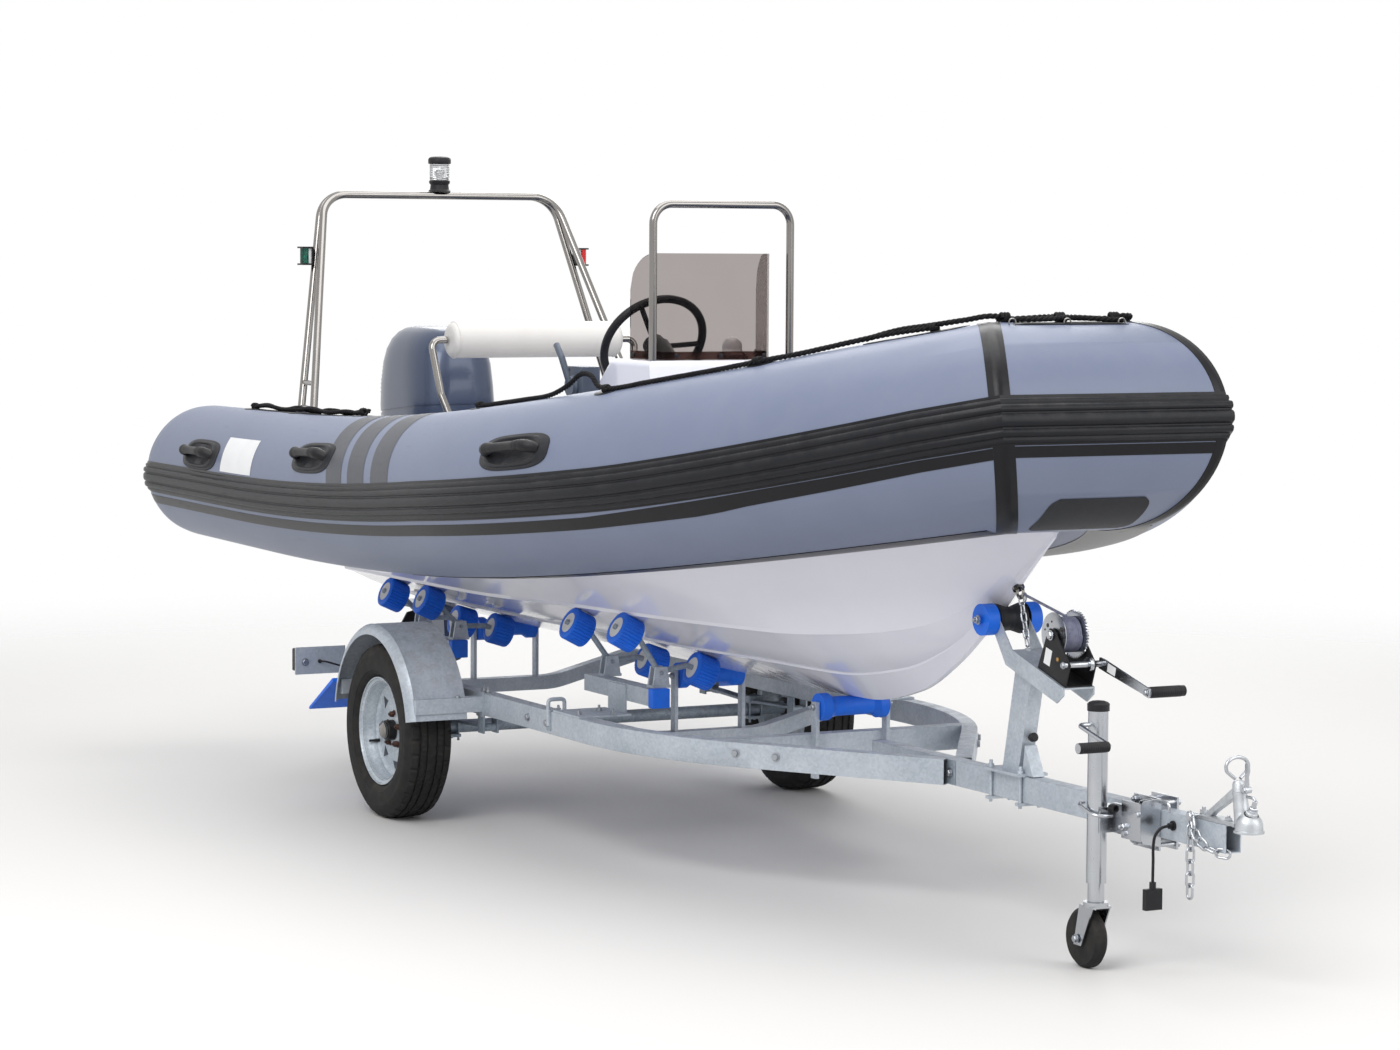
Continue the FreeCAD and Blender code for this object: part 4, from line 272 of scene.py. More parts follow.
# finishes: slot, maker, then main and second colour, roughness, mottle's scale and amount, dust and its colour
matt = {"Specular_IOR_Level": 0.22}
pale, grey, soot = (200, 195, 186), (120, 118, 114), (110, 106, 100)
finishRows = {
    "tubeFabric": ("tube_fabric", coatedFinish, (113, 122, 145), (102, 111, 134), 0.4, 2.2, 0.45, 0.10, (150, 150, 154),
                   {"grain": (1500.0, 0.10, 0.0006), "rub": 0.5}),
    "stripeFabric": ("tube_fabric", coatedFinish, (80, 82, 88), (66, 68, 74), 0.5, 5.0, 0.5, 0.10, (140, 140, 140),
                     {"grain": (1500.0, 0.12, 0.0006), "rub": 0.6}),
    "strakeRubber": ("black_rubber", coatedFinish, (27, 28, 33), (18, 19, 23), 0.36, 9.0, 0.6, 0.16, grey,
                     {"grain": (900.0, 0.25, 0.0008), "rub": 0.7, **matt}),
    "tapeRubber": ("black_rubber", coatedFinish, (17, 17, 21), (24, 25, 29), 0.3, 9.0, 0.6, 0.08, (110, 108, 104),
                   {"grain": (1200.0, 0.12, 0.0006), "rub": 0.5, **matt}),
    "patchRubber": ("black_rubber", coatedFinish, (36, 37, 42), (27, 28, 33), 0.45, 12.0, 0.6, 0.14, grey,
                    {"grain": (900.0, 0.25, 0.0008), "rub": 0.6, **matt}),
    "gelcoat": ("gelcoat", coatedFinish, (233, 233, 243), (222, 223, 235), 0.16, 1.6, 0.6, 0.05, pale,
                {"rub": 0.18, "Coat_Weight": 0.6, "Coat_Roughness": 0.06}),
    "deckGrip": ("gelcoat", coatedFinish, (205, 208, 212), (188, 191, 196), 0.62, 5.0, 0.5, 0.25, (170, 162, 150),
                 {"grain": (160.0, 0.5, 0.002)}),
    "whiteVinyl": ("white_vinyl", coatedFinish, (219, 216, 212), (208, 204, 199), 0.46, 6.0, 0.4, 0.05, pale,
                   {"grain": (520.0, 0.28, 0.0012)}),
    "whitePlastic": ("white_plastic", coatedFinish, (224, 224, 224), (212, 212, 212), 0.32, 12.0, 0.4, 0.05,
                     {"grain": (1100.0, 0.08, 0.0005)}),
    "blackPlastic": ("black_plastic", coatedFinish, (28, 28, 31), (40, 40, 43), 0.42, 14.0, 0.5, 0.14, soot,
                     {"grain": (800.0, 0.25, 0.0008), "rub": 0.5, **matt}),
    "greyPlastic": ("grey_plastic", coatedFinish, (78, 87, 102), (64, 72, 86), 0.42, 12.0, 0.5, 0.1,
                    {"grain": (800.0, 0.2, 0.0008)}),
    "blackRope": ("black_rope", coatedFinish, (24, 24, 27), (44, 44, 48), 0.8, 60.0, 0.7, 0.12,
                  {"weave": (1400.0, 0.8, 0.002), **matt}),
    "winchLine": ("winch_line", coatedFinish, (176, 178, 200), (120, 124, 158), 0.62, 50.0, 0.8, 0.1,
                  {"weave": (1600.0, 0.8, 0.002)}),
    "motorPaint": ("motor_paint", coatedFinish, (60, 72, 96), (50, 61, 83), 0.3, 3.0, 0.4, 0.08, (120, 125, 135),
                   {"metallic": 0.3, "Coat_Weight": 0.4, "Coat_Roughness": 0.1}),
    "motorDark": ("black_plastic", coatedFinish, (36, 40, 48), (28, 31, 38), 0.5, 8.0, 0.5, 0.1,
                  {"grain": (800.0, 0.2, 0.0008), **matt}),
    "engineBlock": (None, coatedFinish, (120, 122, 125), (96, 98, 101), 0.55, 12.0, 0.5, 0.2,
                    {"metallic": 0.5, "grain": (300.0, 0.3, 0.001)}),
    "galvanised": ("galvanised", zincFinish, (198, 204, 211), (168, 177, 187), 0.35, 130.0, {}),
    "galvanisedDull": ("galvanised", zincFinish, (168, 178, 188), (126, 138, 150), 0.3, 120.0, 0.5, {}),
    "wheelSteel": ("wheel_steel", zincFinish, (206, 213, 219), (158, 168, 178), 0.45, 150.0, 0.2, {}),
    "stainless": ("stainless", brightFinish, (142, 139, 136), 0.16, {}),
    "zincPlate": ("zinc_steel", brightFinish, (184, 187, 192), 0.24, {}),
    "rustyNut": ("zinc_steel", coatedFinish, (84, 54, 46), (54, 44, 42), 0.6, 60.0, 0.7, 0.25, {"metallic": 0.5}),
    "boltZinc": ("zinc_steel", brightFinish, (166, 170, 176), 0.36, 0.9, {}),
    "castZinc": ("galvanised", coatedFinish, (198, 202, 206), (160, 164, 168), 0.42, 40.0, 0.6, 0.15,
                 {"metallic": 0.8, "grain": (260.0, 0.35, 0.0012), "rub": 0.6}),
    "blueRubber": ("blue_rubber", coatedFinish, (0, 110, 236), (0, 88, 200), 0.5, 20.0, 0.45, 0.2, (120, 118, 116),
                   {"grain": (500.0, 0.2, 0.0008), "rub": 0.7}),
    "tyreRubber": ("tyre_rubber", coatedFinish, (34, 34, 35), (48, 47, 45), 0.78, 26.0, 0.7, 0.35, (112, 104, 94),
                   {"grain": (420.0, 0.35, 0.001), **matt}),
    "blackSteel": ("black_steel", coatedFinish, (26, 26, 28), (42, 42, 44), 0.4, 14.0, 0.5, 0.15, soot,
                   {"grain": (600.0, 0.12, 0.0006), "rub": 0.7, **matt}),
    "labelWhite": (None, coatedFinish, (240, 240, 240), (226, 226, 226), 0.4, 12.0, 0.5, 0.05, {}),
    "dialFace": ("black_plastic", coatedFinish, (18, 18, 20), (30, 30, 34), 0.25, 30.0, 0.5, {}),
    "copper": ("zinc_steel", brightFinish, (190, 150, 90), 0.35, {}),
    "smokedSheet": ("smoked_acrylic", clearFinish, (170, 163, 161), 0.03, 1.08, {}),
    "screenFoot": ("smoked_acrylic", clearFinish, (112, 88, 84), 0.2, 1.2, {}),
    "clearLens": ("lamp_plastic", clearFinish, (232, 234, 236), 0.12, {}),
    "redLens": ("lamp_plastic", clearFinish, (205, 24, 22), 0.15, {}),
    "amberLens": ("lamp_plastic", clearFinish, (235, 130, 20), 0.15, {}),
    "greenLens": ("lamp_plastic", clearFinish, (0, 122, 100), 0.15, {}),
    "redPlastic": (None, coatedFinish, (176, 26, 24), (150, 20, 20), 0.25, 14.0, 0.4, 0.1, {}),
}
finish = {name: make(name, *given, **more) for name, (slot, make, *given, more) in finishRows.items()}
print("materials made:", len(finish))


# mesh helpers
def joinSolids(parts):
    # several vertex and face lists as one
    vertices, faces = [], []
    for some, loops in parts:
        start = len(vertices)
        vertices += list(some)
        faces += [tuple(start + i for i in loop) for loop in loops]
    return vertices, faces


def mirrored(solid):
    # the port twin of a starboard solid
    vertices, faces = solid
    return [Vector((v.x, -v.y, v.z)) for v in vertices], [tuple(reversed(f)) for f in faces]


def soften(piece, width, steps=2):
    piece.modifiers.new("weld", "WELD").merge_threshold = 0.00002
    edge = piece.modifiers.new("edges", "BEVEL")
    edge.width = width / 1000
    edge.segments = steps
    edge.limit_method = "ANGLE"
    edge.angle_limit = math.radians(35)
    edge.harden_normals = True
    edge.use_clamp_overlap = True


def addPiece(name, solids, skin, body=base, sharp=34, replaces=None, both=False, bevel=None):
    # one piece from solids; both adds their port twins, bevel rounds the edges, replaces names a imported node
    vertices, faces = joinSolids(solids + [mirrored(solid) for solid in solids] if both else solids)
    mesh = bpy.data.meshes.new(name)
    mesh.from_pydata([tuple(v) for v in vertices], [], faces)
    mesh.validate()
    work = bmesh.new()
    work.from_mesh(mesh)
    bmesh.ops.recalc_face_normals(work, faces=work.faces)
    work.to_mesh(mesh)
    work.free()
    mesh.materials.append(finish[skin])
    mesh.polygons.foreach_set("use_smooth", [True] * len(mesh.polygons))
    mesh.set_sharp_from_angle(angle=math.radians(sharp))
    piece = newObject(name, mesh)
    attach(piece, body)
    if replaces:
        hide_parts(replaces)
    if bevel:
        soften(piece, bevel)
    return piece


def loft(rows, closed=True, ends=True, along=False):
    # skin over rows of spots: closed round each row, capped at both ends, or closed along the rows
    rows = list(rows)
    n, count = len(rows), len(rows[0])
    faces = []
    for i in range(n if along else n - 1):
        for j in range(count if closed else count - 1):
            k, below, above = (j + 1) % count, i * count, (i + 1) % n * count
            faces.append((below + j, below + k, above + k, above + j))
    if ends:
        faces += [tuple(range(count)), tuple(range(n * count - count, n * count))[::-1]]
    return [spot for line in rows for spot in line], faces


def sheet(rows, columns, spot):
    # open skin of spot(share along, share across)
    return loft([[spot(i / rows, j / columns) for j in range(columns + 1)] for i in range(rows + 1)], False, False)


def circle(count):
    return [2 * math.pi * k / count for k in range(count)]


def around(spot, across, up, reach, angle):
    return spot + (across * math.cos(angle) + up * math.sin(angle)) * (reach / 1000)


def axes(direction):
    way = Vector(direction).normalized()
    side = way.cross(Vector((0, 0, 1)))
    if side.length < 0.05:
        side = way.cross(Vector((0, 1, 0)))
    side.normalize()
    return way, side, side.cross(way).normalized()


def turned(profile, centre, direction, steps=32, ends=True):
    # profile of (along, radius) in millimetres, turned round an axis
    way, side, up = axes(direction)
    return loft([[around(centre + way * (along / 1000), side, up, radius, angle) for angle in circle(steps)]
                 for along, radius in profile], ends=ends)


def hexHead(centre, direction, across=19.0, tall=9.0):
    # bolt head or nut with its washer, seated at the centre
    washer = [(0, across * 0.72), (1.6, across * 0.72), (1.8, across * 0.66)]
    head = [(1.6, across * 0.57), (tall, across * 0.57), (tall + 1.2, across * 0.5)]
    return joinSolids([turned(washer, centre, direction, 18), turned(head, centre, direction, 6)])


def nutAndStud(centre, direction, across, tall, stud):
    shank = [(tall, across * 0.28), (tall + stud, across * 0.28), (tall + stud + 1, across * 0.22)]
    return joinSolids([hexHead(centre, direction, across, tall), turned(shank, centre, direction, 12)])


def boxOf(low, high):
    (a, b, c), (d, e, f) = low, high
    spots = [at(x, y, z) for x in (a, d) for y in (b, e) for z in (c, f)]
    return spots, [(0, 1, 3, 2), (4, 6, 7, 5), (0, 4, 5, 1), (2, 3, 7, 6), (0, 2, 6, 4), (1, 5, 7, 3)]


def slab(outline, depth, axis):
    # flat outline pushed along a vector
    push = Vector(axis).normalized() * (depth / 1000)
    return loft([outline, [p + push for p in outline]])


def framed(middle, side, up):
    # four corners round a middle
    return [middle + side * a + up * b for a, b in ((-1, -1), (1, -1), (1, 1), (-1, 1))]


def smoothPath(points, steps=10):
    # even curve through the given points
    pts = [Vector(p) for p in points]
    pts = [2 * pts[0] - pts[1]] + pts + [2 * pts[-1] - pts[-2]]
    out = []
    for a, b, c, d in zip(pts, pts[1:], pts[2:], pts[3:]):
        for t in (k / steps for k in range(steps)):
            out.append(0.5 * (2 * b + (c - a) * t + (2 * a - 5 * b + 4 * c - d) * t * t +
                              (3 * b - a - 3 * c + d) * t ** 3))
    out.append(pts[-2])
    return out


def roundedPath(points, radius, steps=6):
    # straight runs with arcs at the corners, like a bent rod
    pts = [Vector(p) for p in points]
    out = [pts[0]]
    for a, b, c in zip(pts, pts[1:], pts[2:]):
        before, after = (a - b).normalized(), (c - b).normalized()
        half = before.angle(after) / 2
        reach = min(radius / 1000 / math.tan(half), 0.45 * (a - b).length, 0.45 * (c - b).length)
        start, end = b + before * reach, b + after * reach
        for t in (k / steps for k in range(steps + 1)):
            out.append(start.lerp(b, t).lerp(b.lerp(end, t), t))
    out.append(pts[-1])
    return out


def evenPath(path, spacing):
    spots = np.array([tuple(p) for p in path])
    marks = np.concatenate([[0], np.cumsum(np.linalg.norm(np.diff(spots, axis=0), axis=1))])
    places = np.linspace(0, marks[-1], max(3, int(marks[-1] / spacing) + 1))
    return [Vector([float(np.interp(m, marks, spots[:, axis])) for axis in range(3)]) for m in places]


def swept(path, radius, steps=12, closed=False):
    # round bar along a path, radius in millimetres or one for each point
    n, rings, side = len(path), [], None
    radii = radius if isinstance(radius, list) else [radius] * n
    for k, p in enumerate(path):
        before, after = path[k - 1] if k or closed else p, path[(k + 1) % n] if k < n - 1 or closed else p
        way = (after - before).normalized()
        side = axes(way)[1] if side is None else (side - way * side.dot(way)).normalized()
        rings.append([around(p, side, side.cross(way), radii[k], angle) for angle in circle(steps)])
    return loft(rings, ends=not closed, along=closed)


# trailer lead from the gland in the drawbar to the plug
leadSet = {"radius": 4.0, "length": 0.1736,
           "points": [(3488.0, -41.2, 414.0), (3488.0, -56.0, 413.4), (3487.6, -69.6, 407.2), (3487.0, -80.0, 396.0),
                      (3486.0, -85.6, 381.6), (3484.8, -87.0, 354.0), (3485.6, -86.4, 325.0), (3485.0, -86.6, 296.0),
                      (3485.0, -86.6, 268.0)]}


def makeLead():
    curve = bpy.data.curves.new("trailer_lead", "CURVE")
    curve.dimensions = "3D"
    curve.bevel_depth = leadSet["radius"] / 1000
    curve.bevel_resolution = 4
    curve.use_fill_caps = True
    line = curve.splines.new("NURBS")
    line.points.add(len(leadSet["points"]) - 1)
    for point, spot in zip(line.points, leadSet["points"]):
        point.co = (*at(*spot), 1)
    line.order_u = 3
    line.use_endpoint_u = True
    line.resolution_u = 12
    curve.materials.append(finish["blackPlastic"])
    lead = newObject("trailer_lead", curve)
    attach(lead, base)
    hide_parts("plug_cable")
    return lead


lead = makeLead()
at(*leadSet["points"][0])
print("trailer lead laid")


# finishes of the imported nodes
nodeFinish = {
    "gelcoat": "hull transom bow_locker console seat_base", "tubeFabric": "inflatable_tube",
    "strakeRubber": "rub_strake", "smokedSheet": "windscreen", "whitePlastic": "compass",
    "stainless": "console_rail backrest_frame arch_frame bow_eye", "greyPlastic": "throttle_control",
    "blackPlastic": "steering_helm nav_lights anchor_light carry_handles steering_wheel cable_gland plug plug_cable",
    "whiteVinyl": "seat_cushion backrest_bolster", "blackRope": "grab_lines", "engineBlock": "powerhead",
    "motorPaint": "clamp_bracket swivel_bracket outboard_leg outboard_cowl", "blackSteel": "propeller winch_frame",
    "galvanised": "drawbar side_rails cross_beams mudguards light_boards roller_beams winch_post",
    "galvanisedDull": "axle leaf_springs roller_arms", "blueRubber": "mud_flaps side_rollers keel_rollers",
    "redPlastic": "tail_lamps", "winchLine": "winch_rope", "castZinc": "coupling", "wheelSteel": "rim_right rim_left",
    "zincPlate": "winch_drum safety_chain jockey_clamp jockey_tube jockey_leg jockey_fork",
    "tyreRubber": "jockey_wheel tyre_right tyre_left",
}
for skin, names in nodeFinish.items():
    for node in (nodes[name] for name in names.split()):
        if not node.material_slots:
            node.data.materials.append(finish[skin])
        for place in node.material_slots:
            place.material = finish[skin]

edgeWidths = {"transom": 4, "bow_locker": 12, "seat_base": 2, "drawbar": 4, "side_rails": 4, "cross_beams": 3,
              "roller_beams": 2.5, "winch_post": 2, "light_boards": 1, "tail_lamps": 4, "coupling": 3, "plug": 2,
              "nav_lights": 4, "throttle_control": 6, "clamp_bracket": 3, "swivel_bracket": 3, "winch_frame": 1.5,
              "leaf_springs": 1, "powerhead": 6, "jockey_clamp": 1.5, "mud_flaps": 1}
for name, width in edgeWidths.items():
    soften(nodes[name], width)
print("packed nodes dressed")


# inflatable tube: stations and sizes in millimetres from the axle
tubeSet = {"spread": 785.0, "height": 1070.0, "radius": 262.5, "taper": 0.0094, "tail": -1760.0, "cap": 200.0,
           "turnStart": 790.0, "turnRadius": 3996.1, "riseStart": -930.0, "riseRadius": 19900.0, "elbow": 2870.0,
           "spans": 56, "round": 96}
tip = tubeSet["tail"] - tubeSet["cap"]


def tubeLine(station, side=-1):
    turn, rise = max(station - tubeSet["turnStart"], 0), max(station - tubeSet["riseStart"], 0)
    inward = tubeSet["turnRadius"] - math.sqrt(tubeSet["turnRadius"] ** 2 - turn ** 2)
    upward = tubeSet["riseRadius"] - math.sqrt(tubeSet["riseRadius"] ** 2 - rise ** 2)
    return at(station, side * (tubeSet["spread"] - inward), tubeSet["height"] + upward)


def tubeWay(station, side=-1):
    turn, rise = max(station - tubeSet["turnStart"], 0), max(station - tubeSet["riseStart"], 0)
    inward = turn / math.sqrt(tubeSet["turnRadius"] ** 2 - turn ** 2)
    upward = rise / math.sqrt(tubeSet["riseRadius"] ** 2 - rise ** 2)
    return Vector((1, -side * inward, upward)).normalized()


def tubeFrame(station, side=-1):
    # middle, heading, outward and upward directions, twisted evenly so that they meet the nose tube's
    way = tubeWay(station, side)
    outward = way.cross(Vector((0, 0, 1))).normalized() * -side
    upward = outward.cross(way).normalized()
    if upward.z < 0:
        upward = -upward
    endWay, bow = tubeWay(tubeSet["elbow"], side), Vector((1, 0, 0))
    normal = endWay + Vector((0, -side, 0))
    mirror = bow - normal * (2 * bow.dot(normal) / normal.dot(normal))
    endOut = endWay.cross(Vector((0, 0, 1))).normalized() * -side
    lean = endOut.angle(mirror) * max(station - tubeSet["turnStart"], 0) / (tubeSet["elbow"] - tubeSet["turnStart"])
    c, s = math.cos(lean), math.sin(lean)
    return tubeLine(station, side), way, outward * c - upward * s, outward * s + upward * c


def tubeReach(station):
    return tubeSet["radius"] + tubeSet["taper"] * station


def onTube(station, degrees, lift=0.0, side=-1):
    # a spot on the tube's skin; past the tail the cap closes in as a cone with a rounded tip
    clamped = max(station, tubeSet["tail"])
    spot, way, outward, upward = tubeFrame(clamped, side)
    share = min((clamped - station) / tubeSet["cap"], 1.0)
    reach = tubeReach(clamped) * max(0.02, (1 - share ** 2.6) ** 0.5) + lift
    return around(spot - way * ((clamped - station) / 1000), outward, upward, reach, math.radians(degrees))


def ontoMitre(spot, side):
    # slides a spot along the side tube into the plane where it meets the nose tube
    way = tubeWay(tubeSet["elbow"], side)
    normal = (way + Vector((0, -side, 0))).normalized()
    return spot - way * ((spot - tubeLine(tubeSet["elbow"], side)).dot(normal) / way.dot(normal))


def onNose(y, degrees, lift):
    middle = tubeLine(tubeSet["elbow"], -1)
    middle.y = y / 1000
    return around(middle, Vector((1, 0, 0)), Vector((0, 0, 1)), tubeReach(tubeSet["elbow"]) + lift,
                  math.radians(degrees))


strakeSet = {"climb": 11.6, "start": 1750.0}


def strakeShift(station):
    # degrees that the strake and its tapes climb round the tube toward the elbow
    share = max(station - strakeSet["start"], 0) / (tubeSet["elbow"] - strakeSet["start"])
    return strakeSet["climb"] * min(share, 1) ** 1.5


def tubeRows(stations, profile, side):
    # one row for each station of a side tube: profile(station) gives degrees and lifts
    rows = [[onTube(s, degrees, lift, side) for degrees, lift in profile(s)] for s in stations]
    return [[ontoMitre(p, side) for p in line] if s >= tubeSet["elbow"] - 0.01 else line
            for s, line in zip(stations, rows)]


def stationsFrom(low, high, count):
    return [low + (high - low) * k / (count - 1) for k in range(count)]


def wholeTube(profile, tail):
    # both side tubes and the nose between them; tail holds the stations past the tube's straight end
    main = [tip + back for back in tail] + stationsFrom(tubeSet["tail"], tubeSet["elbow"], tubeSet["spans"])
    return tubeRows(main, profile, -1) + tubeRows(main, profile, 1)[::-1]


def strip(low, high, lift, steps):
    # profile of a tape between two angles, its edges tucked into the skin
    return [(low, -0.5)] + [(low + (high - low) * k / steps, lift) for k in range(steps + 1)] + [(high, -0.5)]


def band(start, end, count, edges, lift, side, steps):
    # strip laid along one side tube, its two angles given by edges(station): glued webbing, and the black band of
    # painted shade under the tube
    return loft(tubeRows(stationsFrom(start, end, count), lambda s: strip(*edges(s), lift, steps), side), False, False)


# strake: degrees round the tube and lift off the skin
strakeProfile = [(7.6, -1.5), (7.5, 3.0), (6.9, 7.0), (5.4, 8.0), (4.6, 6.0), (4.2, 6.0), (3.6, 12.5), (2.9, 15.0),
                 (1.4, 15.6), (0.4, 14.6), (-0.2, 10.2), (-1.0, 10.0), (-1.6, 13.8), (-2.6, 16.6), (-4.5, 17.2),
                 (-6.4, 16.6), (-7.4, 13.8), (-8.0, 10.0), (-8.8, 10.2), (-9.4, 14.6), (-10.4, 15.6), (-11.9, 15.0),
                 (-12.6, 12.5), (-13.2, 6.0), (-13.6, 6.0), (-14.4, 8.0), (-15.9, 7.0), (-16.5, 3.0), (-16.6, -1.5)]
# lower tape: stations, then its bottom and top in degrees round the tube
tapeRows = ((-2000, 1700, 2150, 2290, 2565, 2800, 2870), (-28.6, -28.6, -26.2, -22.8, -18.5, -14.1, -12.8),
            (-20.6, -20.6, -16.2, -14.4, -11.0, -7.6, -6.6))
tapeSet = {"lift": 1.1, "strakeTapes": ((-17.6, -15.8, 2.4), (7.0, 9.2, 2.0)), "elbowHalf": 0.034, "elbowLift": 1.8}


def makeTube():
    count = tubeSet["round"]
    rows = wholeTube(lambda s: [(360 * k / count, 0) for k in range(count)], (0.6, 5, 14, 28, 50, 78, 110, 150))
    addPiece("tube_skin", [loft(rows)], "tubeFabric", sharp=40, replaces="inflatable_tube")
    rows = wholeTube(lambda s: [(a + strakeShift(s), lift) for a, lift in strakeProfile], (92, 110, 135, 165))
    addPiece("strake_rubber", [loft(rows)], "strakeRubber", sharp=50, replaces="rub_strake")


def makeTapes():
    profiles = [lambda s: strip(*[float(np.interp(s, tapeRows[0], edge)) for edge in tapeRows[1:]],
                                tapeSet["lift"], 4)]
    for low, high, lift in tapeSet["strakeTapes"]:
        profiles.append(lambda s, a=low, b=high, c=lift: strip(a + strakeShift(s), b + strakeShift(s), c, 4))
    addPiece("tape_lines", [loft(wholeTube(profile, (92, 125, 160)), False, False) for profile in profiles],
             "tapeRubber")


def elbowBand(side):
    # tape wrapped round the tube over the seam between side tube and nose tube
    way, across, reach = tubeWay(tubeSet["elbow"], side), Vector((0, -side, 0)), tapeSet["elbowHalf"]
    rows = []
    for angle in range(-97, 136, 4):
        low, seam = (ontoMitre(onTube(tubeSet["elbow"], angle, lift, side), side)
                     for lift in (-0.5, tapeSet["elbowLift"]))
        rows.append([low - way * reach, seam - way * reach, seam - way * reach * 0.5, seam,
                     seam + across * reach * 0.5, seam + across * reach, low + across * reach])
    return loft(rows, False, False)


# slanted stripes by the stern: station at the strake, station at the top, width there, width at the top
stripeRows = ((40.0, -175.0, 137.0, 150.0), (231.0, 30.0, 142.0, 160.0), (434.0, 262.0, 147.0, 165.0))
patchSet = {"stripes": (9.4, 88.0, 0.9), "label": (-1010.0, -38.0, 312.0, 10.5, 30.0, 0.8),
            "nose": {"middle": -56.0, "tall": 17.0, "half": 165.0, "lift": 1.6}}


def stripe(side, foot, top, wide, wideTop):
    start, climb, lift = patchSet["stripes"]
    return sheet(24, 5, lambda u, v: onTube(foot + (top - foot) * u + (wide + (wideTop - wide) * u) * v,
                                            start + climb * u, lift, side))


def blankLabel(side):
    start, slant, length, low, climb, lift = patchSet["label"]
    return sheet(12, 6, lambda u, v: onTube(start + slant * u + length * v, low + climb * u, lift, side))


def nosePatch():
    # small doubler with rounded corners glued under the nose
    middle, tall, half, lift = patchSet["nose"].values()
    return sheet(12, 12, lambda u, v: onNose(half * (1 - 0.16 * abs(2 * u - 1) ** 6) * (2 * v - 1),
                                             middle - tall * (2 * u - 1), lift))


makeTube()
makeTapes()
addPiece("elbow_bands", [elbowBand(-1), elbowBand(1)], "tapeRubber", sharp=60)
addPiece("tube_stripes", [stripe(side, *given) for side in (-1, 1) for given in stripeRows], "stripeFabric")
addPiece("blank_labels", [blankLabel(-1), blankLabel(1)], "labelWhite")
addPiece("nose_patch", [nosePatch()], "patchRubber")
print("tube, strake, tapes and stripes done")


# hull: station, keel z, rail y, rail z, chine y, chine z, edge y, edge z
hullRows = ((-1150, 560, 300, 652, 500, 742, 680, 890), (0, 560, 300, 655, 508, 750, 685, 890),
            (1000, 560, 290, 668, 500, 780, 690, 930), (1500, 560, 240, 668, 445, 786, 640, 985),
            (1850, 565, 148, 656, 374, 789.5, 560, 1046), (1900, 568, 130, 655, 360, 790, 545, 1055),
            (2150, 622, 72, 690, 262, 806, 460, 1100), (2350, 722, 42, 765, 150, 838, 375, 1140),
            (2550, 868, 24, 895, 60, 930, 270, 1180), (2750, 1040, 14, 1060, 34, 1085, 130, 1215),
            (2860, 1128, 8, 1140, 18, 1155, 50, 1235))
hullSet = {"steps": 6, "lip": 7.0, "sole": 938.0, "soleEnd": 1900, "soleGap": 16}


def hullLines():
    # hull columns eased along the boat between the table's rows
    table = np.array(hullRows, float)
    places = table[:, 0]
    stations = [places[0]]
    for a, b in zip(places, places[1:]):
        count = 3 if b - a < 100 else hullSet["steps"]
        stations += [a + (b - a) * k / count for k in range(1, count + 1)]
    steps = np.diff(table, axis=0) / np.diff(places)[:, None]
    slopes = np.zeros_like(table)
    slopes[0], slopes[-1] = steps[0], steps[-1]
    for k in range(1, len(table) - 1):
        product, total = steps[k - 1] * steps[k], steps[k - 1] + steps[k]
        slopes[k] = np.where(product > 0, 2 * product / np.where(product > 0, total, 1), 0)
    rows = []
    for s in stations:
        k = min(np.searchsorted(places, s, "right") - 1, len(table) - 2)
        h = places[k + 1] - places[k]
        t = (s - places[k]) / h
        h00, h10, h01, h11 = 2 * t**3 - 3 * t**2 + 1, t**3 - 2 * t**2 + t, -2 * t**3 + 3 * t**2, t**3 - t**2
        line = h00 * table[k] + h10 * h * slopes[k] + h01 * table[k + 1] + h11 * h * slopes[k + 1]
        rows.append((s, *line[1:]))
    return rows


def hullHalf(keel, railY, railZ, chineY, chineZ, edgeY, edgeZ):
    # one section from the keel out to the edge, as y and z
    lip = hullSet["lip"] * min(1.0, railY / 60)
    flat = min(26.0, 0.3 * railY)
    shelf = min(34.0, 0.3 * (chineY - railY))

    def between(y, lift=0.0):
        if y < railY:
            return y, keel + (railZ - keel) * y / max(railY, 1) + lift
        return y, railZ + (chineZ - railZ) * (y - railY) / max(chineY - railY, 1) + lift

    def flank(share, shareUp):
        return chineY + share * (edgeY - chineY), chineZ + shareUp * (edgeZ - chineZ)
    return [(0, keel), (min(9, railY * 0.4), keel + min(1.5, 0.02 * railY)), between(railY - flat, 1),
            (railY - 2, railZ - lip * 0.6 + 1), (railY, railZ + lip * 0.5), between(railY + flat * 0.4, 1),
            between(0.5 * (railY + chineY), -1), between(chineY - shelf), (chineY - 1, chineZ - lip * 0.5),
            (chineY + 1, chineZ + lip), flank(0.22, 0.27), flank(0.55, 0.58), (edgeY, edgeZ)]


def soleHalf(spots):
    # hull's half width at the sole's height
    for (y0, z0), (y1, z1) in zip(spots, spots[1:]):
        if z0 <= hullSet["sole"] <= z1:
            return y0 + (y1 - y0) * (hullSet["sole"] - z0) / max(z1 - z0, 0.01)
    return spots[-1][0]


def makeHull():
    halves = [(given[0], hullHalf(*given[1:])) for given in hullLines()]
    rows = [[at(x, -y, z) for y, z in half[:0:-1]] + [at(x, y, z) for y, z in half] for x, half in halves]
    addPiece("hull_shell", [loft(rows, closed=False)], "gelcoat", sharp=20, replaces="hull")
    edge = [(x, soleHalf(half) - hullSet["soleGap"]) for x, half in halves if x <= hullSet["soleEnd"]]
    outline = [at(x, y, hullSet["sole"]) for x, y in edge + [(x, -y) for x, y in reversed(edge)]]
    addPiece("cockpit_sole", [slab(outline, 2.0, (0, 0, 1))], "deckGrip")


makeHull()
print("hull done")


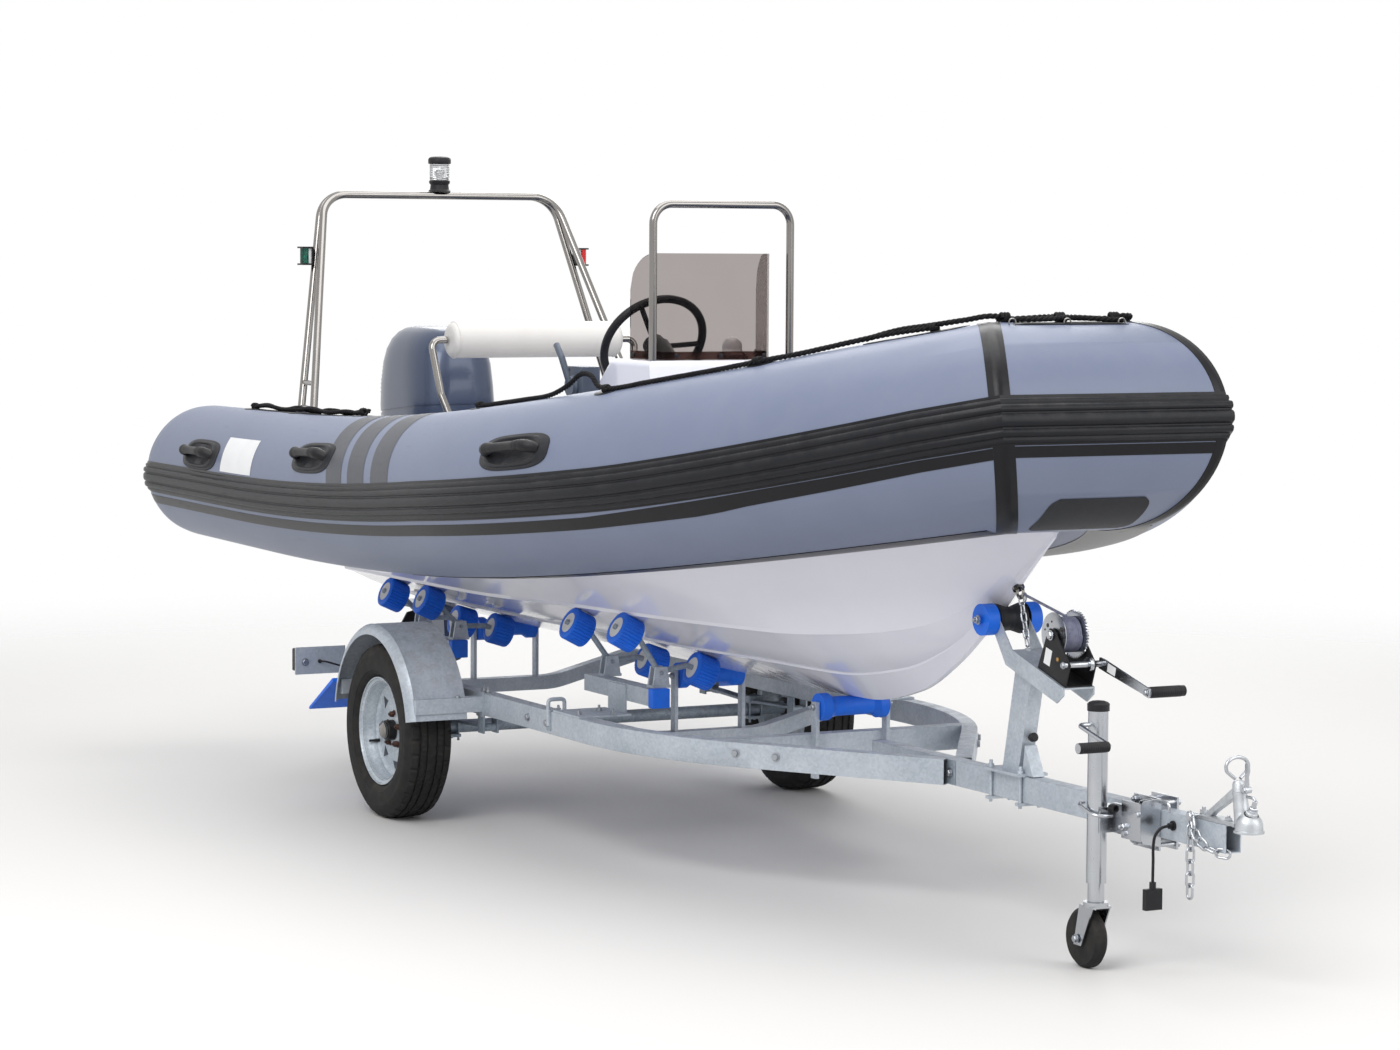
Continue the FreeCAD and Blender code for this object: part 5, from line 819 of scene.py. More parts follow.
# carry handles: station and degrees of each middle; rings of share and lift from the base's edge inward
handleSet = {"rows": ((-1250, 22.05), (-150, 28.8), (1390, 24.48)), "half": 175.0, "across": 58.0}
handleRings = ((1.0, -0.4), (1.0, 2.2), (0.98, 3.6), (0.86, 4.2), (0.82, 9.0), (0.78, 10.4), (0.72, 10.4),
               (0.68, 8.4), (0.64, 5.0), (0.3, 4.4), (0.01, 4.4))
# half of a grip: along the tube from its middle, lift and radius
gripRows = ((128, 5, 15), (121, 18, 17.5), (106, 31, 19), (88, 36, 19), (84, 36.5, 16.5), (78, 37, 18.5),
            (72, 37.5, 16), (66, 38, 17), (50, 38, 14.5))
# ropes: station, lift off the skin, degrees up from the tube's outer side
ropeSet = {"radius": 8.0, "pitch": 0.048}
ropeRows = ((790, 6.5, 84), (960, 6.5, 84), (1130, 6.5, 83), (1290, 8, 82), (1400, 28, 82), (1490, 56, 81),
            (1570, 50, 77), (1620, 18, 73), (1690, 6.5, 72), (1830, 6.5, 74), (1970, 6.5, 75.5), (2110, 7, 76.5),
            (2250, 9, 78), (2380, 8, 82), (2500, 12, 86), (2630, 16, 89), (2750, 12, 90))
sternRopeRows = ((-1340, 9, 92), (-1200, 17, 91), (-1060, 9, 92), (-900, 12, 93), (-760, 20, 91), (-600, 9, 91),
                 (-450, 15, 92), (-330, 10, 92), (-265, 22, 91))
knotRows = ((-1335, 10, 92), (-270, 14, 91), (800, 8, 84), (1655, 9, 72), (2242, 10, 78), (2752, 13, 90))
# patches under the ropes: station, degrees, half length and half width
laceRows = ((-1335, 92, 60, 34), (-900, 92, 60, 34), (-280, 92, 60, 34), (800, 84, 46, 30), (1650, 74, 52, 34),
            (2242, 80, 46, 30), (2600, 90, 44, 34), (2790, 91, 52, 40))
laceRings = ((1, -0.4), (1, 1.6), (0.94, 2.4), (0.5, 2.6), (0.02, 2.6))
# webbing: stations and degrees on the side tubes, then the pad on top of the nose
strapRows = ((-1360, -250, 86.5, 98.5), (1640, 2260, 83.0, 90.0), (2560, 2810, 84, 97))
padSet = {"half": 190.0, "middle": 89.5, "spread": 11.5,
          "rings": ((-1, -0.4), (-1, 3.0), (-0.92, 5.0), (0.92, 5.0), (1, 3.0), (1, -0.4))}
# painted shade: a black band along the tube's underside where it meets the hull, standing in for the dark gap there;
# stations and the degrees that its outer edge climbs to
junctionShadeRows = ((200, 1400, 2600, 2850), (-85, -76.5, -67.5, -66))


def rounded(angle, half, across, power):
    # spot on a rounded rectangle's outline
    c, s = math.cos(angle), math.sin(angle)
    return math.copysign(abs(c) ** (2 / power), c) * half, math.copysign(abs(s) ** (2 / power), s) * across


def tubePatch(station, degrees, half, across, rings, side, power=3.2, count=56):
    # rounded doubler on the tube: rings of share and lift from its edge inward
    rows = []
    for share, lift in rings:
        spots = [rounded(angle, half * share, across * share, power) for angle in circle(count)]
        rows.append([onTube(station + x, degrees + math.degrees(y / tubeReach(station)), lift, side)
                     for x, y in spots])
    vertices, faces = loft(rows)
    del faces[-2]
    return vertices, faces


def makeHandles():
    bases, grips = [], []
    rows = [(-x, lift, reach) for x, lift, reach in gripRows] + list(reversed(gripRows))
    for side in (-1, 1):
        for station, degrees in handleSet["rows"]:
            bases.append(tubePatch(station, degrees, handleSet["half"], handleSet["across"], handleRings, side))
            line = [onTube(station + x, degrees, lift, side) for x, lift, _reach in rows]
            grips.append(swept(line, [reach for _x, _lift, reach in rows], 20))
    addPiece("handle_bases", bases, "patchRubber", sharp=50, replaces="carry_handles")
    addPiece("handle_grips", grips, "blackPlastic", sharp=50)


def laidRope(points, steps, radius=ropeSet["radius"], strands=3):
    # strands twisted round a curve through the points
    spots = evenPath(smoothPath(points, steps), ropeSet["pitch"] / 10)
    frames, side = [], None
    for k, spot in enumerate(spots):
        way = (spots[min(k + 1, len(spots) - 1)] - spots[max(k - 1, 0)]).normalized()
        side = axes(way)[1] if side is None else (side - way * side.dot(way)).normalized()
        frames.append((spot, side, side.cross(way), radius * 0.48))
    return joinSolids([swept([around(*given, 2 * math.pi * (k / 10 + strand / strands))
                              for k, given in enumerate(frames)], radius * 0.55, 7) for strand in range(strands)])


def knot(spot, direction, radius):
    # a few turns of rope pulled tight
    way, across, up = axes(direction)
    line = []
    for k in range(49):
        angle = 2 * math.pi * k / 16
        line.append(around(spot + way * ((k / 48 - 0.5) * 3.4 * radius / 1000), across, up, radius * 1.15,
                           angle + 0.35 * math.sin(angle * 0.5)))
    return swept(line, radius * 0.62, 8)


def makeRopes():
    ropes, knots, patches = [], [], []
    for side in (-1, 1):
        for rows in (ropeRows, sternRopeRows):
            ropes.append(laidRope([onTube(s, d, lift, side) for s, lift, d in rows], 10))
        for station, lift, degrees in knotRows:
            way = onTube(station + 10, degrees, lift, side) - onTube(station - 10, degrees, lift, side)
            knots.append(knot(onTube(station, degrees, lift, side), way, ropeSet["radius"]))
        patches += [tubePatch(*given, laceRings, side, 2.4, 32) for given in laceRows]
    addPiece("grab_ropes", ropes, "blackRope", sharp=80, replaces="grab_lines")
    addPiece("rope_knots", knots, "blackRope", sharp=80)
    addPiece("lace_patches", patches, "tapeRubber")


def makeStraps():
    straps = [band(start, end, 30, lambda s, a=low, b=high: (a, b), 2.2, side, 4)
              for side in (-1, 1) for start, end, low, high in strapRows]
    straps.append(loft([[onNose(padSet["half"] * (2 * k / 24 - 1), padSet["middle"] + padSet["spread"] * share,
                                lift * min(1, (24 - k) / 1.5, k / 1.5)) for share, lift in padSet["rings"]]
                        for k in range(25)], False, False))
    addPiece("webbing_straps", straps, "tapeRubber")
    ropes, eyes = [], []
    for low, lift in ((94, 12), (86, 11)):
        ropes.append(laidRope([onNose(y, low + 3 * math.sin(y / 40), lift + 3 * math.cos(y / 55))
                               for y in range(-184, 185, 46)], 8))
    for side in (-1, 1):
        ropes.append(laidRope([onTube(-1340 + 97 * k, 95.5, 13 + 6 * math.sin(1.9 * k), side) for k in range(12)], 6))
        line = [onTube(s, degrees, lift, side)
                for s, degrees, lift in ((2560, 88, 13), (2650, 90, 22), (2750, 91, 19), (2840, 91, 17))]
        ropes.append(laidRope(line + [onNose(side * 230, 91, 17), onNose(side * 170, 91, 15)], 8))
    for y in (-178, 0, 178):
        ropes.append(knot(onNose(y, 90, 13), (0, 1, 0), ropeSet["radius"] * 1.1))
        spot = onNose(y - 12, 80, 5) + row(4, 0, 0)
        eyes.append(swept([around(spot, Vector((0, 1, 0)), Vector((0, 0, 1)), 11, a) for a in circle(20)], 2.2, 8,
                          closed=True))
    addPiece("nose_ropes", ropes, "blackRope", sharp=80)
    addPiece("lace_eyes", eyes, "stainless")
    # black band on the tube's underside next to the hull: painted shade of the gap between tube and hull
    junctionShades = [band(200, 2850, 50, lambda s: (-101, float(np.interp(s, *junctionShadeRows))), 2.2, side, 5) for side in (-1, 1)]
    addPiece("junction_shade_band", junctionShades, "tapeRubber")


makeHandles()
makeRopes()
makeStraps()
print("handles, ropes and straps done")


# seat cushion and backrest bolster: cap is how far in millimetres the cloth may swell
softSet = {"pressure": 4.0, "frames": 20, "voxel": 0.006}
cushionSet = {"middle": (-220.0, 0.0), "half": (247.0, 297.0), "corner": 46.0, "cap": 8.0, "pipings": (1187.0, 1231.5),
              "rings": ((1181.2, 16), (1183.5, 6), (1190, 3.5), (1210, 2.5), (1229, 3.5), (1233, 8), (1238, 30),
                        (1243, 90), (1245.5, 170), (1246.5, 240))}
bolsterSet = {"middle": (-580.0, 0.0, 1590.0), "half": 333.0, "reach": 64.5, "cap": 5.5}


def spotsOf(mesh):
    flat = np.empty(len(mesh.vertices) * 3)
    mesh.vertices.foreach_get("co", flat)
    return flat.reshape(-1, 3)


def settled(piece, cap, pinned):
    # swells a closed shell under air pressure, then holds every point within the cap of where it began
    voxels = piece.modifiers.new("voxels", "REMESH")
    voxels.mode = "VOXEL"
    voxels.voxel_size = softSet["voxel"]
    shell = bpy.data.meshes.new_from_object(piece.evaluated_get(bpy.context.evaluated_depsgraph_get()))
    piece.modifiers.clear()
    piece.data = shell
    starts = spotsOf(shell)
    held = piece.vertex_groups.new(name="held")
    world = [piece.matrix_world @ vertex.co for vertex in shell.vertices]
    held.add([k for k, spot in enumerate(world) if pinned(spot)], 1.0, "REPLACE")
    cloth = piece.modifiers.new("swell", "CLOTH")
    cloth.settings.use_pressure = True
    cloth.settings.uniform_pressure_force = softSet["pressure"]
    cloth.settings.effector_weights.gravity = 0.0
    cloth.settings.vertex_group_mass = "held"
    cloth.point_cache.frame_start = 1
    cloth.point_cache.frame_end = softSet["frames"]
    for step in range(1, softSet["frames"] + 1):
        scene.frame_set(step)
    moves = spotsOf(piece.evaluated_get(bpy.context.evaluated_depsgraph_get()).to_mesh()) - starts
    lengths = np.linalg.norm(moves, axis=1, keepdims=True)
    moves *= np.minimum(1.0, cap / 1000 / np.maximum(lengths, 1e-9))
    piece.modifiers.clear()
    shell.vertices.foreach_set("co", (starts + moves).ravel())
    scene.frame_set(1)
    shell.polygons.foreach_set("use_smooth", [True] * len(shell.polygons))
    finer = piece.modifiers.new("finer", "SUBSURF")
    finer.levels = finer.render_levels = 1


def roundedBox(inset, height):
    # one ring of a cushion: a rectangle with round corners
    (mx, my), (hx, hy), corner = cushionSet["middle"], cushionSet["half"], cushionSet["corner"]
    hx, hy, corner = hx - inset, hy - inset, max(corner - inset * 0.5, 8)
    ring = []
    for quarter, (sx, sy) in enumerate(((1, 1), (-1, 1), (-1, -1), (1, -1))):
        for angle in (math.pi / 2 * (quarter + k / 8) for k in range(9)):
            ring.append(at(mx + sx * (hx - corner) + corner * math.cos(angle),
                           my + sy * (hy - corner) + corner * math.sin(angle), height))
    return ring


def makeCushion():
    rings = [roundedBox(inset, height) for height, inset in cushionSet["rings"]]
    cushion = addPiece("seat_pad", [loft(rings)], "whiteVinyl", replaces="seat_cushion")
    settled(cushion, cushionSet["cap"], lambda spot: spot.z < 1.187 or abs(spot.z - 1.231) < 0.0035)
    cords = [swept(roundedBox(1.5, height), 3.2, 8, closed=True) for height in cushionSet["pipings"]]
    addPiece("seat_piping", cords, "whiteVinyl")


def makeBolster():
    half, reach = bolsterSet["half"], bolsterSet["reach"]
    middle = at(*bolsterSet["middle"])
    ends = [(-half, 2), (0.4 - half, reach * 0.6), (3 - half, reach - 14), (9 - half, reach - 5), (19 - half, reach)]
    profile = ends + [(x, reach) for x in range(-300, 301, 60)] + [(-a, r) for a, r in reversed(ends)]
    bolster = addPiece("backrest_roll", [turned(profile, middle, (0, 1, 0), 60)], "whiteVinyl",
                       replaces="backrest_bolster")
    edge = half / 1000 - 0.004
    settled(bolster, bolsterSet["cap"], lambda spot: abs(abs(spot.y) - edge) < 0.0045)
    cords = [swept([around(middle + row(0, side * (half - 19), 0), Vector((1, 0, 0)), Vector((0, 0, 1)), reach, a)
                    for a in circle(48)], 1.7, 8, closed=True) for side in (-1, 1)]
    addPiece("bolster_piping", cords, "whiteVinyl")


makeCushion()
makeBolster()
print("soft parts done")


# windscreen, compass and console fittings
screenSet = {"base": 1560.4, "top": 1904.0, "front": 853.0, "wing": 181.0, "back": 667.0, "half": 232.0,
             "thick": 3.6, "round": 120.0, "bend": 26.0, "flange": 27.0}
screenBolts = ((857.2, -160), (857.2, 0), (857.2, 160), (764, -208.5), (764, 208.5), (684, -230.5), (684, 230.5))
# dials on the sloping dash: share up the slope, distance from the middle, radius
dialRows = ((0.66, -95, 42), (0.66, 0, 42), (0.66, 95, 42), (0.3, 150, 24))
dashSet = {"low": (430, 0, 1410), "high": (610, 0, 1560), "panel": (0.22, -120), "door": (338.6, 190, 985, 1290)}


def screenSheet(plan, low, tops, outer, inner):
    # upright sheet between two offsets of the plan line
    rows, steps = [], 9
    loop = [(outer, j / steps) for j in range(steps + 1)] + [(inner, 1 - j / steps) for j in range(steps + 1)]
    for k, spot in enumerate(plan):
        way = (plan[min(k + 1, len(plan) - 1)] - plan[max(k - 1, 0)]).normalized()
        rows.append([Vector((spot.x, spot.y, 0)) + row(way.y * offset, -way.x * offset, low + (tops[k] - low) * share)
                     for offset, share in loop])
    return loft(rows)


def makeScreen():
    front, wing, back, half, bend = (screenSet[key] for key in ("front", "wing", "back", "half", "bend"))
    corners = [at(back, -half, 0), at(front, -wing, 0), at(front, wing, 0), at(back, half, 0)]
    plan, tops = evenPath(roundedPath(corners, bend, 8), 0.012), []
    marks = np.concatenate([[0], np.cumsum([(b - a).length for a, b in zip(plan, plan[1:])])]) * 1000
    for mark in marks:
        near = max(0.0, screenSet["round"] - min(mark, marks[-1] - mark)) / screenSet["round"]
        tops.append(screenSet["top"] - screenSet["round"] * (1 - math.sqrt(max(0.0, 1 - near * near))))
    thick, low = screenSet["thick"] / 2, screenSet["base"]
    addPiece("smoked_screen", [screenSheet(plan, low, tops, thick, -thick)], "smokedSheet", sharp=30,
             replaces="windscreen")
    foot = [low + screenSet["flange"]] * len(plan)
    addPiece("screen_foot", [screenSheet(plan, low + 0.2, foot, -thick - 0.3, -thick - 4.2)], "screenFoot", sharp=30)
    heads = []
    for x, y in screenBolts:
        way = (1, 0, 0) if abs(y) < 200 else (0.26, -1 if y < 0 else 1, 0)
        heads.append(turned([(-7, 4), (0, 4), (0, 8), (3.2, 7.4), (4.6, 4.5)], at(x - 0.6, y, 1574), way, 20))
    addPiece("screen_bolts", heads, "blackPlastic")
    profile = [(0, 51.5), (9, 51.5), (12, 49), (14, 44), (22, 40), (24, 35)]
    profile += [(38 + 33 * math.sin(a), 33 * math.cos(a)) for a in np.linspace(-0.25, 1.52, 12)]
    addPiece("compass_dome", [turned(profile, at(710, 120, low), (0, 0, 1), 40)], "whitePlastic", sharp=42,
             replaces="compass")


def dashSpot(share, y, lift=0.2):
    # a spot on the console's sloping dash, the way up the slope and the way out of it
    low, high = Vector(dashSet["low"]), Vector(dashSet["high"])
    up = (high - low).normalized()
    out = Vector((-up.z, 0, up.x))
    place = low.lerp(high, share) + out * lift
    return at(place.x, y, place.z), up, out


def makeConsoleFittings():
    rims, faces, glasses, pointers = [], [], [], []
    for share, y, reach in dialRows:
        spot, up, out = dashSpot(share, y)
        rims.append(turned([(0, reach), (5, reach), (7, reach - 2), (7, reach - 6), (2, reach - 7)], spot, out, 40))
        faces.append(turned([(0.2, reach - 6), (1.8, reach - 6)], spot, out, 40))
        glasses.append(turned([(4.2, reach - 6), (5.4, reach - 6.5)], spot, out, 40))
        middle = spot + out * 0.0026
        needle = Vector((0, 0.6, 0.3)).normalized() * ((reach - 14) / 1000)
        pointers.append(swept([middle, middle + needle / 2, middle + needle], [1.6, 1.1, 0.5], 6))
    addPiece("dial_rims", rims, "blackPlastic")
    addPiece("dial_faces", faces, "dialFace")
    addPiece("dial_glasses", glasses, "clearLens")
    addPiece("dial_pointers", pointers, "labelWhite")
    spot, up, out = dashSpot(*dashSet["panel"])
    side = Vector((0, 1, 0))
    addPiece("switch_panel", [slab(framed(spot, side * 0.085, up * 0.026), 3.0, out)], "blackPlastic", bevel=1.5)
    switches = [slab(framed(spot + side * (0.030 * k) + out * 0.003, side * 0.009, up * 0.016), 5.0, out + up * 0.25)
                for k in range(-2, 3)]
    addPiece("switch_rockers", switches, "dialFace", bevel=1.2)
    x, wide, low, high = dashSet["door"]
    outline = [at(x, a * wide, z) for a, z in ((-1, low), (1, low), (1, high), (-1, high))]
    soften(addPiece("console_door", [slab(outline, 6.0, (-1, 0, 0))], "gelcoat"), 5, 3)
    latch = [turned([(0, 22), (5, 22), (7, 19), (7, 14), (4, 12)], at(332.4, 150, 1140), (-1, 0, 0), 28)]
    latch += [boxOf((326, -205, z - 25), (338, -188, z + 25)) for z in (1040, 1240)]
    addPiece("door_fittings", latch, "blackPlastic", bevel=1.5)
    screws = [turned([(0, 5), (2, 5), (3, 3.4)], at(x, -342.3, z), (0, -1, 0), 16)
              for x, z in ((432, 1412), (528, 1412), (432, 1518), (528, 1518))]
    screws.append(turned([(0, 38), (6, 38), (10, 34), (12, 20)], at(470, -342.3, 1465), (0, -1, 0), 36))
    addPiece("throttle_screws", screws, "greyPlastic")


makeScreen()
makeConsoleFittings()
print("console done")


# outboard cowl: height, front, rear, half width and squareness of each ring
cowlRows = ((1159, -1219, -1647, 128, 4), (1166, -1211, -1664, 137, 4), (1186, -1205, -1682, 149, 4),
            (1215, -1201, -1697, 158, 4), (1268, -1197, -1711, 166, 3.8), (1330, -1196, -1719, 169, 3.6),
            (1400, -1198, -1720, 168, 3.4), (1480, -1207, -1712, 163, 3.2), (1530, -1219, -1701, 154, 3.0),
            (1568, -1238, -1685, 138, 2.8), (1594, -1263, -1662, 117, 2.6), (1609, -1292, -1634, 93, 2.5),
            (1616, -1332, -1596, 60, 2.4), (1618, -1400, -1528, 22, 2.2))
cowlSet = {"seam": 1306.0, "slope": 0.10, "round": 84, "extra": (-4, -3.2, 3.2, 4, 134, 202, 244, 276)}


def cowlSpot(height, degrees, lift=0.0):
    table = np.array(cowlRows)
    front, rear, half, power = (float(np.interp(height, table[:, 0], table[:, c])) for c in (1, 2, 3, 4))
    x, y = rounded(math.radians(degrees), (front - rear) / 2, half, power)
    out = Vector((x / (front - rear), y / (half * 2), 0))
    return at((front + rear) / 2 + x, y, height) + out.normalized() * (lift / 1000)


def cowlPatch(low, high, start, end, lift, rows=6, columns=10):
    # raised panel on the cowl between two heights and two angles
    def spot(u, v):
        inside = 0.001 < u < 0.999 and 0.001 < v < 0.999
        return cowlSpot(low + (high - low) * u, start + (end - start) * v, lift if inside else -1.0)
    return sheet(rows, columns, spot)


def makeCowl():
    seam, rows, dark = cowlSet["seam"], [], []
    for height in sorted([ring[0] for ring in cowlRows] + [seam + more for more in cowlSet["extra"]]):
        tilt = max(0.0, 1 - abs(height - seam) / 90) * cowlSet["slope"]
        lift = -4.0 if abs(height - seam) < 3.5 else 0.0
        rows.append([cowlSpot(height, 360 * k / cowlSet["round"], lift) for k in range(cowlSet["round"])])
        for spot in rows[-1]:
            spot.z += tilt * (spot.x + 2.39)
    addPiece("cowl_hood", [loft(rows)], "motorPaint", "outboard", sharp=38, replaces="outboard_cowl")
    for side in (-1, 1):
        dark.append(cowlPatch(1352, 1470, side * 136, side * 152, 1.6))
        dark += [swept([cowlSpot(1362 + 16 * k, side * a, 2.6) for a in np.linspace(138, 150, 8)], 2.6, 6)
                 for k in range(7)]
        dark.append(cowlPatch(1196, 1214, side * 30, side * 150, 1.4, 3, 30))
    dark.append(swept([cowlSpot(1176, a, 0.8) for a in range(0, 360, 5)], 4.5, 8, closed=True))
    dark.append(slab([at(-1688, a * 26, z) for a, z in ((-1, 1186), (1, 1186), (1, 1228), (-1, 1228))], 16,
                     (-1, 0, 0)))
    addPiece("cowl_trim", dark, "motorDark", "outboard", sharp=40)


makeCowl()
print("motor done")


# trailer wheels: half a tyre from its bead out, off the wheel's middle plane and radius; then the tread's columns
wheelSet = {"plane": 770.0, "hub": 294.0, "steps": 216, "vent": 22.0, "nutCircle": 54.0, "spokes": 8}
sideRows = ((58.5, 166.0), (60.5, 184.0), (64, 187.0), (72, 192.0), (78, 199.0), (80, 204), (82.2, 205), (83.6, 214),
            (85, 228.0), (84.6, 240), (83.8, 249), (84.2, 251), (81.4, 261), (76, 272), (70, 281))
treadRows = (67, 60, 50, 46.6, 46, 39, 38.4, 29, 20.6, 20, 14, 13.4, 6)
rimRows = ((68, 178), (68, 181.5), (61, 182), (59, 168), (-59, 168), (-61, 182), (-68, 181.5), (-68, 178), (-62, 176),
           (-58, 163), (-30, 157), (8, 154), (30, 156), (38, 161), (57, 164), (63, 176), (68, 178))
# dished disc: radius and distance out of the wheel's plane
discRows = ((30, 18), (46, 18), (60, 14), (90, 13), (109, 10), (121, 9), (134, 9), (147, 9), (151, 12), (156, 17))


def treadReach(along, k):
    # radius of the tread: round grooves, cross cuts in the shoulders and fine cuts between
    edge = abs(along)
    reach = wheelSet["hub"] - 0.5 * (edge / 30) ** 2 - (0.0 if edge < 55 else 0.42 * (edge - 55))
    if 38.8 < edge < 46.3 or 13.8 < edge < 20.3:
        return reach - 7.0
    if edge >= 46.3 and (k + (3 if along > 0 else 0)) % 6 == 0:
        return reach - 6.0
    if edge < 38.8 and (k + int(edge / 4)) % 4 == 0:
        return reach - 3.5
    return reach


def wheelDisc(centre, out):
    # pressed disc with a vent in each spoke's place
    turn, rows = 2 * math.pi / wheelSet["spokes"], []
    for reach, along in discRows:
        half = wheelSet["vent"] / 109 * min(max((147 - reach) / 38, 0), 1) * 109 / max(reach, 109)
        angles = (-turn / 2, -turn / 4 - half / 2, -half, half, turn / 4 + half / 2)
        rows.append([around(centre + out * (along / 1000), Vector((1, 0, 0)), Vector((0, 0, 1)), reach, turn * k + a)
                     for k in range(wheelSet["spokes"]) for a in angles])
    vertices, faces = loft(rows, ends=False)
    count = len(rows[0])
    return vertices, [f for n, f in enumerate(faces) if not (4 <= n // count < 7 and n % 5 == 2)]


def makeWheel(side, body, label):
    east, up, out = Vector((1, 0, 0)), Vector((0, 0, 1)), Vector((0, side, 0))
    centre = at(0, side * wheelSet["plane"], wheelSet["hub"])
    steps = wheelSet["steps"]
    half = [(-a, [r] * steps) for a, r in sideRows] + [(-a, [treadReach(-a, k) for k in range(steps)])
                                                       for a in treadRows]
    other = [(a, [r] * steps) for a, r in sideRows] + [(a, [treadReach(a, k) for k in range(steps)])
                                                       for a in treadRows]
    tyre = loft([[around(centre + row(0, along, 0), east, up, reaches[k], angle)
                  for k, angle in enumerate(circle(steps))] for along, reaches in half + other[::-1]], ends=False)
    addPiece("tyre_tread_" + label, [tyre], "tyreRubber", body, sharp=28, replaces="tyre_" + label)
    rim = [turned(rimRows, centre, out, 96, ends=False), wheelDisc(centre, out)]
    addPiece("pressed_rim_" + label, rim, "wheelSteel", body, sharp=38, replaces="rim_" + label)
    hub = turned([(-62, 30), (-60, 34), (44, 34.5), (46, 33), (46, 20)], centre, out, 40)
    addPiece("wheel_hub_" + label, [hub], "blackSteel", body)
    cap = turned([(46, 27.5), (48, 28), (56, 26.5), (57, 24), (60.5, 21), (62.4, 14), (63, 4)], centre, out, 40)
    addPiece("dust_cap_" + label, [cap], "stainless", body)
    nuts = [nutAndStud(around(centre + out * 0.0145, east, up, wheelSet["nutCircle"], 2 * math.pi * (k + 0.25) / 5),
                       out, 19, 14, 6) for k in range(5)]
    addPiece("wheel_nuts_" + label, nuts, "rustyNut", body)
    valve = around(centre + out * 0.012, east, up, 147, 3.5)
    stem = swept([valve + out * far for far in (0, 0.012, 0.022, 0.036)], [6.0, 5.5, 4.0, 4.2], 10)
    addPiece("tyre_valve_" + label, [stem], "blackPlastic", body)


makeWheel(-1, "wheel_right", "right")
makeWheel(1, "wheel_left", "left")
print("wheels done")


# ribbed side rollers: station, distance from the middle, height and lean of each starboard one
rollerRows = ((-1654.5, 484.5, 676.7, 0.412), (-1654.5, 216.2, 569.9, 0.296), (-1334.5, 484.6, 677.9, 0.414),
              (-1334.5, 216.3, 570.5, 0.299), (-124.5, 487.1, 705.3, 0.461), (-124.5, 218.6, 581.0, 0.34),
              (225.5, 488.2, 722.9, 0.48), (225.5, 220.0, 588.0, 0.367))
# distance from the roller's middle, radius and depth of the grooves
rollerSet = {"half": ((38, 34, 0), (38, 47, 0), (35, 52.5, 1.8), (31, 54, 3)), "ribs": 30}


def makeRollers():
    rubbers, hubs, nuts = [], [], []
    steps, half = rollerSet["ribs"] * 4, rollerSet["half"]
    for x, y, z, lean in rollerRows:
        for side in (-1, 1):
            spot = row(x, side * y, z)
            way, across, up = axes((0, side * math.sqrt(1 - lean * lean), lean))
            rubbers.append(loft([[around(spot + way * (along / 1000), across, up, reach - (0 if k % 4 else cut), angle)
                                  for k, angle in enumerate(circle(steps))]
                                 for along, reach, cut in [(-a, r, c) for a, r, c in half] + list(half[::-1])],
                                ends=False))
            for end in (-1, 1):
                face = spot + way * (end * 0.038)
                hubs.append(turned([(-1, 34.2), (0, 33), (-5, 30), (-9, 17), (-4, 15), (-4, 10)], face, way * end, 28))
                nuts.append(hexHead(face - way * (end * 0.004), way * end, 14, 6))
    addPiece("ribbed_rollers", rubbers, "blueRubber", sharp=32, replaces="side_rollers")
    addPiece("roller_hubs", hubs, "whitePlastic")
    addPiece("roller_nuts", nuts, "boltZinc")


# chains: length, width and bar of a link; links by their middles, then the trailer chain's free run
linkSet = {"boat": (34.0, 21.0, 5.0), "trailer": (46.0, 30.0, 7.0)}
boatLinks = ((1754.4, 938.5), (1760.9, 915.7), (1767.5, 893.0), (1774.0, 870.2), (1780.6, 847.4), (1787.2, 824.6))
tailLinks = (446.3, 414.6, 382.9, 351.2, 319.5, 287.8, 256.1)
loopPath = ((2664, -44, 452), (2676, -48, 428), (2696, -50, 404), (2726, -46, 385), (2760, -34, 374), (2786, -12, 370))


def chainLink(spot, along, across, kind):
    length, width, bar = linkSet[kind]
    half = (length - width) / 2000
    return swept([around(spot + along * (half if math.cos(angle) > 0 else -half), along, across, (width - bar) / 2,
                         angle) for angle in circle(24)], bar / 2, 8, closed=True)


def makeChains():
    side, up = Vector((0, 1, 0)), Vector((0, 0, 1))
    links = [chainLink(row(x, 0, z), Vector((-0.276, 0, 0.961)), Vector((0.961, 0, 0.276)) if k % 2 else side, "boat")
             for k, (x, z) in enumerate(boatLinks)]
    links += [chainLink(row(2655.5, -41.5, z), up, side if k % 2 else Vector((1, 0, 0)), "trailer")
              for k, z in enumerate(tailLinks)]
    length, _width, bar = linkSet["trailer"]
    path = evenPath(smoothPath([row(*p) for p in loopPath]), (length - 2 * bar - 0.3) / 1000)
    for k, (a, b) in enumerate(zip(path, path[1:])):
        way, side, up = axes(b - a)
        links.append(chainLink((a + b) / 2, way, side if k % 2 else up, "trailer"))
    addPiece("chain_links", links, "zincPlate", sharp=60, replaces="safety_chain")


makeRollers()
makeChains()
print("rollers and chains done")


def paintFaces(name, skin, rule):
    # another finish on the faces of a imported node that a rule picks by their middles
    node = nodes[name]
    node.data.materials.append(finish[skin])
    index = len(node.data.materials) - 1
    node.material_slots[index].material = finish[skin]
    for face in node.data.polygons:
        if rule(node.matrix_world @ face.center):
            face.material_index = index


# rolled mudguards: distance from the middle and radius of the rolled sheet's section
guardSet = {"height": 308.0, "start": 9.4, "end": 170.6, "steps": 60, "bars": (-345, 300)}
guardRows = ((667, 345), (667, 347.5), (825, 347.5), (845, 346.4), (850, 347.6), (856, 344), (865, 336), (870.5, 326),
             (872.8, 316), (872.8, 312.5), (870.4, 312.5), (870, 317), (866, 327), (858, 338), (845, 343.6), (825, 345))
